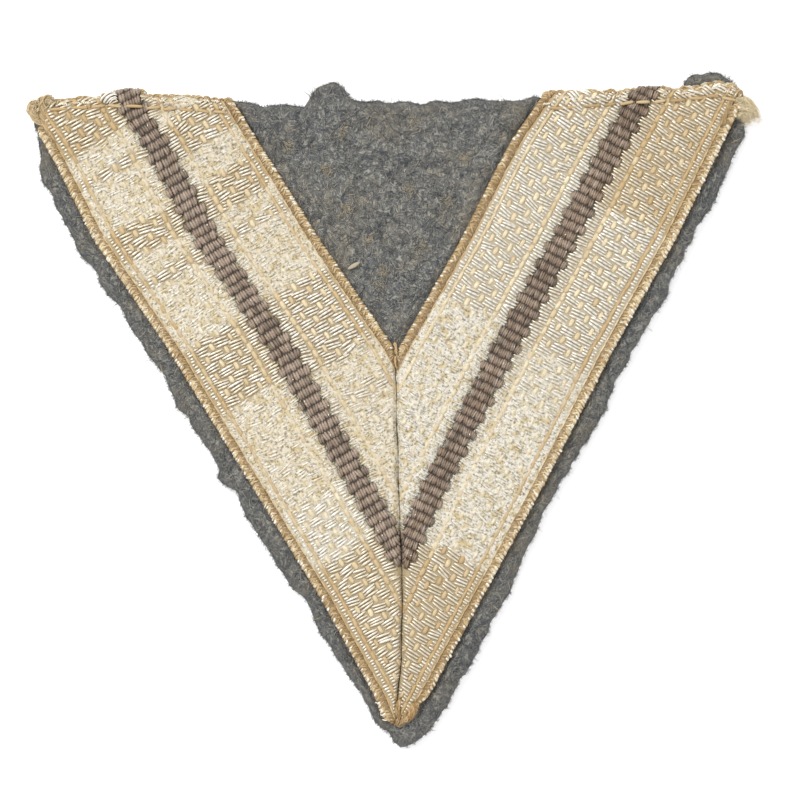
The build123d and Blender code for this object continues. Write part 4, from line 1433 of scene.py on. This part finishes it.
# The balls of fuzz in the knob at the left: middle, radius, number of fibres, lean, turn, shades.
knob = [
    ((-47.75, 40.1, 2.9), 0.92, 260, 0.4, 1.6, (0.0, 0.9)),
    ((-46.35, 40.9, 2.95), 0.98, 260, 0.4, 1.6, (0.0, 0.9)),
    ((-46.3, 39.2, 2.85), 0.66, 120, 0.4, 1.6, (0.4, 1.9)),
]
tipRoll = [
    ([(3.0, -38.9, 2.7), (3.1, -40.3, 2.8), (1.9, -41.4, 2.75), (-0.1, -41.8, 2.5)],
     140, 0.56, 0.0, 12.0, (0.05, 0.09), (0.3, 2.0)),
    ([(1.2, -38.4, 2.8), (0.7, -39.6, 3.0), (0.6, -40.4, 3.0), (1.0, -41.2, 2.8)],
     30, 0.24, 0.1, 5.0, (0.05, 0.09), (0.3, 1.9)),
]
seamKnot = [
    ([(0.2, 9.0, 2.9), (0.9, 8.6, 3.1), (0.3, 7.9, 3.1), (0.8, 7.2, 2.9)],
     8, 0.16, 0.3, 2.0, (0.06, 0.1), (0.4, 0.8)),
    ([(0.5, 7.3, 2.9), (0.3, 6.3, 3.0), (0.7, 5.4, 2.8)], 5, 0.10, 0.2, 2.0, (0.05, 0.08), (0.4, 0.8)),
    ([(1.9, 8.6, 3.0), (1.3, 7.6, 3.1), (0.8, 6.9, 2.9)], 5, 0.10, 0.2, 2.0, (0.05, 0.08), (0.5, 0.9)),
]

for name, bundles in tufts.items():
    loose = [frizz(b[0], *tuftFrizz[name]) for b in bundles[:3]]
    loose += [fuzzBall(*ball) for ball in knob] if name == "Left" else []
    shape = together([yarn(*b) for b in bundles] + loose)
    shape["crest"] = np.maximum(shape["crest"], tuftLight[name])
    shape["rust"] = np.full(len(shape["points"]), tuftRust[name])
    tuft = makePiece("cornerTuft" + name, shape, yellow)
    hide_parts("corner_tuft_" + name.lower())
shape = together([yarn(*b) for b in tipRoll] + [frizz(b[0], *tuftFrizz["Tip"]) for b in tipRoll])
shape["rust"] = np.clip(0.10 + 0.22 * shape["shade"], 0, 1)
tip = makePiece("tipRoll", shape, yellow)
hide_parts("tip_fold")
shape = together([yarn(*b) for b in seamKnot])
shape["rust"] = np.full(len(shape["points"]), tuftRust["Knot"])
makePiece("seamKnot", shape, yellow)

print("trim made")

# A white table, a soft sky and two broad lamps, as in a flat product photograph. Lamps: place, size and
# power, in metres and watts.
studio = {
    "tableSize": 1600.0, "tableGlow": 0.35, "tableTones": ((0.93, 0.93, 0.93), (0.95, 0.95, 0.95)),
    "sky": 0.62,
    "lamps": {
        "keyLamp": ((-0.55, 0.55, 0.85), 0.45, 9.5),
        "fillLamp": ((0.75, -0.35, 0.75), 0.7, 3.5),
    },
}


def makeTable():
    finish = Finish("white table", 0.9)
    half = studio["tableSize"] / 2
    finish.surface.inputs["Emission Strength"].default_value = studio["tableGlow"]
    finish.surface.inputs["Emission Color"].default_value = (1, 1, 1, 1)
    tone = finish.noise(finish.places(), 0.02)
    material = finish.finished(finish.blend(tone, *studio["tableTones"]))
    mesh = bpy.data.meshes.new("floor")
    corners = [(-half, -half, 0), (half, -half, 0), (half, half, 0), (-half, half, 0)]
    mesh.from_pydata([tuple(c * mm for c in corner) for corner in corners], [], [(0, 1, 2, 3)])
    mesh.materials.append(material)
    table = bpy.data.objects.new("floor", mesh)
    bpy.context.scene.collection.objects.link(table)


# A square lamp that shines on the origin.
def addLamp(name, place, size, power):
    lamp = bpy.data.lights.new(name, "AREA")
    lamp.size = size
    lamp.energy = power
    holder = bpy.data.objects.new(name, lamp)
    holder.location = place
    holder.rotation_euler = holder.location.to_track_quat("Z", "Y").to_euler()
    bpy.context.scene.collection.objects.link(holder)


makeTable()
for name, lamp in studio["lamps"].items():
    addLamp(name, *lamp)
world = bpy.data.worlds.new("sky")
world.use_nodes = True
world.node_tree.nodes["Background"].inputs["Color"].default_value = (1, 1, 1, 1)
world.node_tree.nodes["Background"].inputs["Strength"].default_value = studio["sky"]
bpy.context.scene.world = world
bpy.context.scene.view_settings.view_transform = "Standard"

# The camera looks straight down through a long lens. Its frame is this wide at the level of the badge's
# top, and the lens is as much longer than the sensor is wide as the badge is farther than the frame.
cameraView = {"height": 800.0, "frame": 106.67, "middle": (1.07, 1.33), "level": 3.0, "sensor": 36.0}
lens = bpy.data.cameras.new("camera")
lens.sensor_width = cameraView["sensor"]
lens.lens = cameraView["sensor"] * (cameraView["height"] - cameraView["level"]) / cameraView["frame"]
camera = bpy.data.objects.new("camera", lens)
camera.location = (cameraView["middle"][0] * mm, cameraView["middle"][1] * mm, cameraView["height"] * mm)
bpy.context.scene.collection.objects.link(camera)
bpy.context.scene.camera = camera
print("studio made")
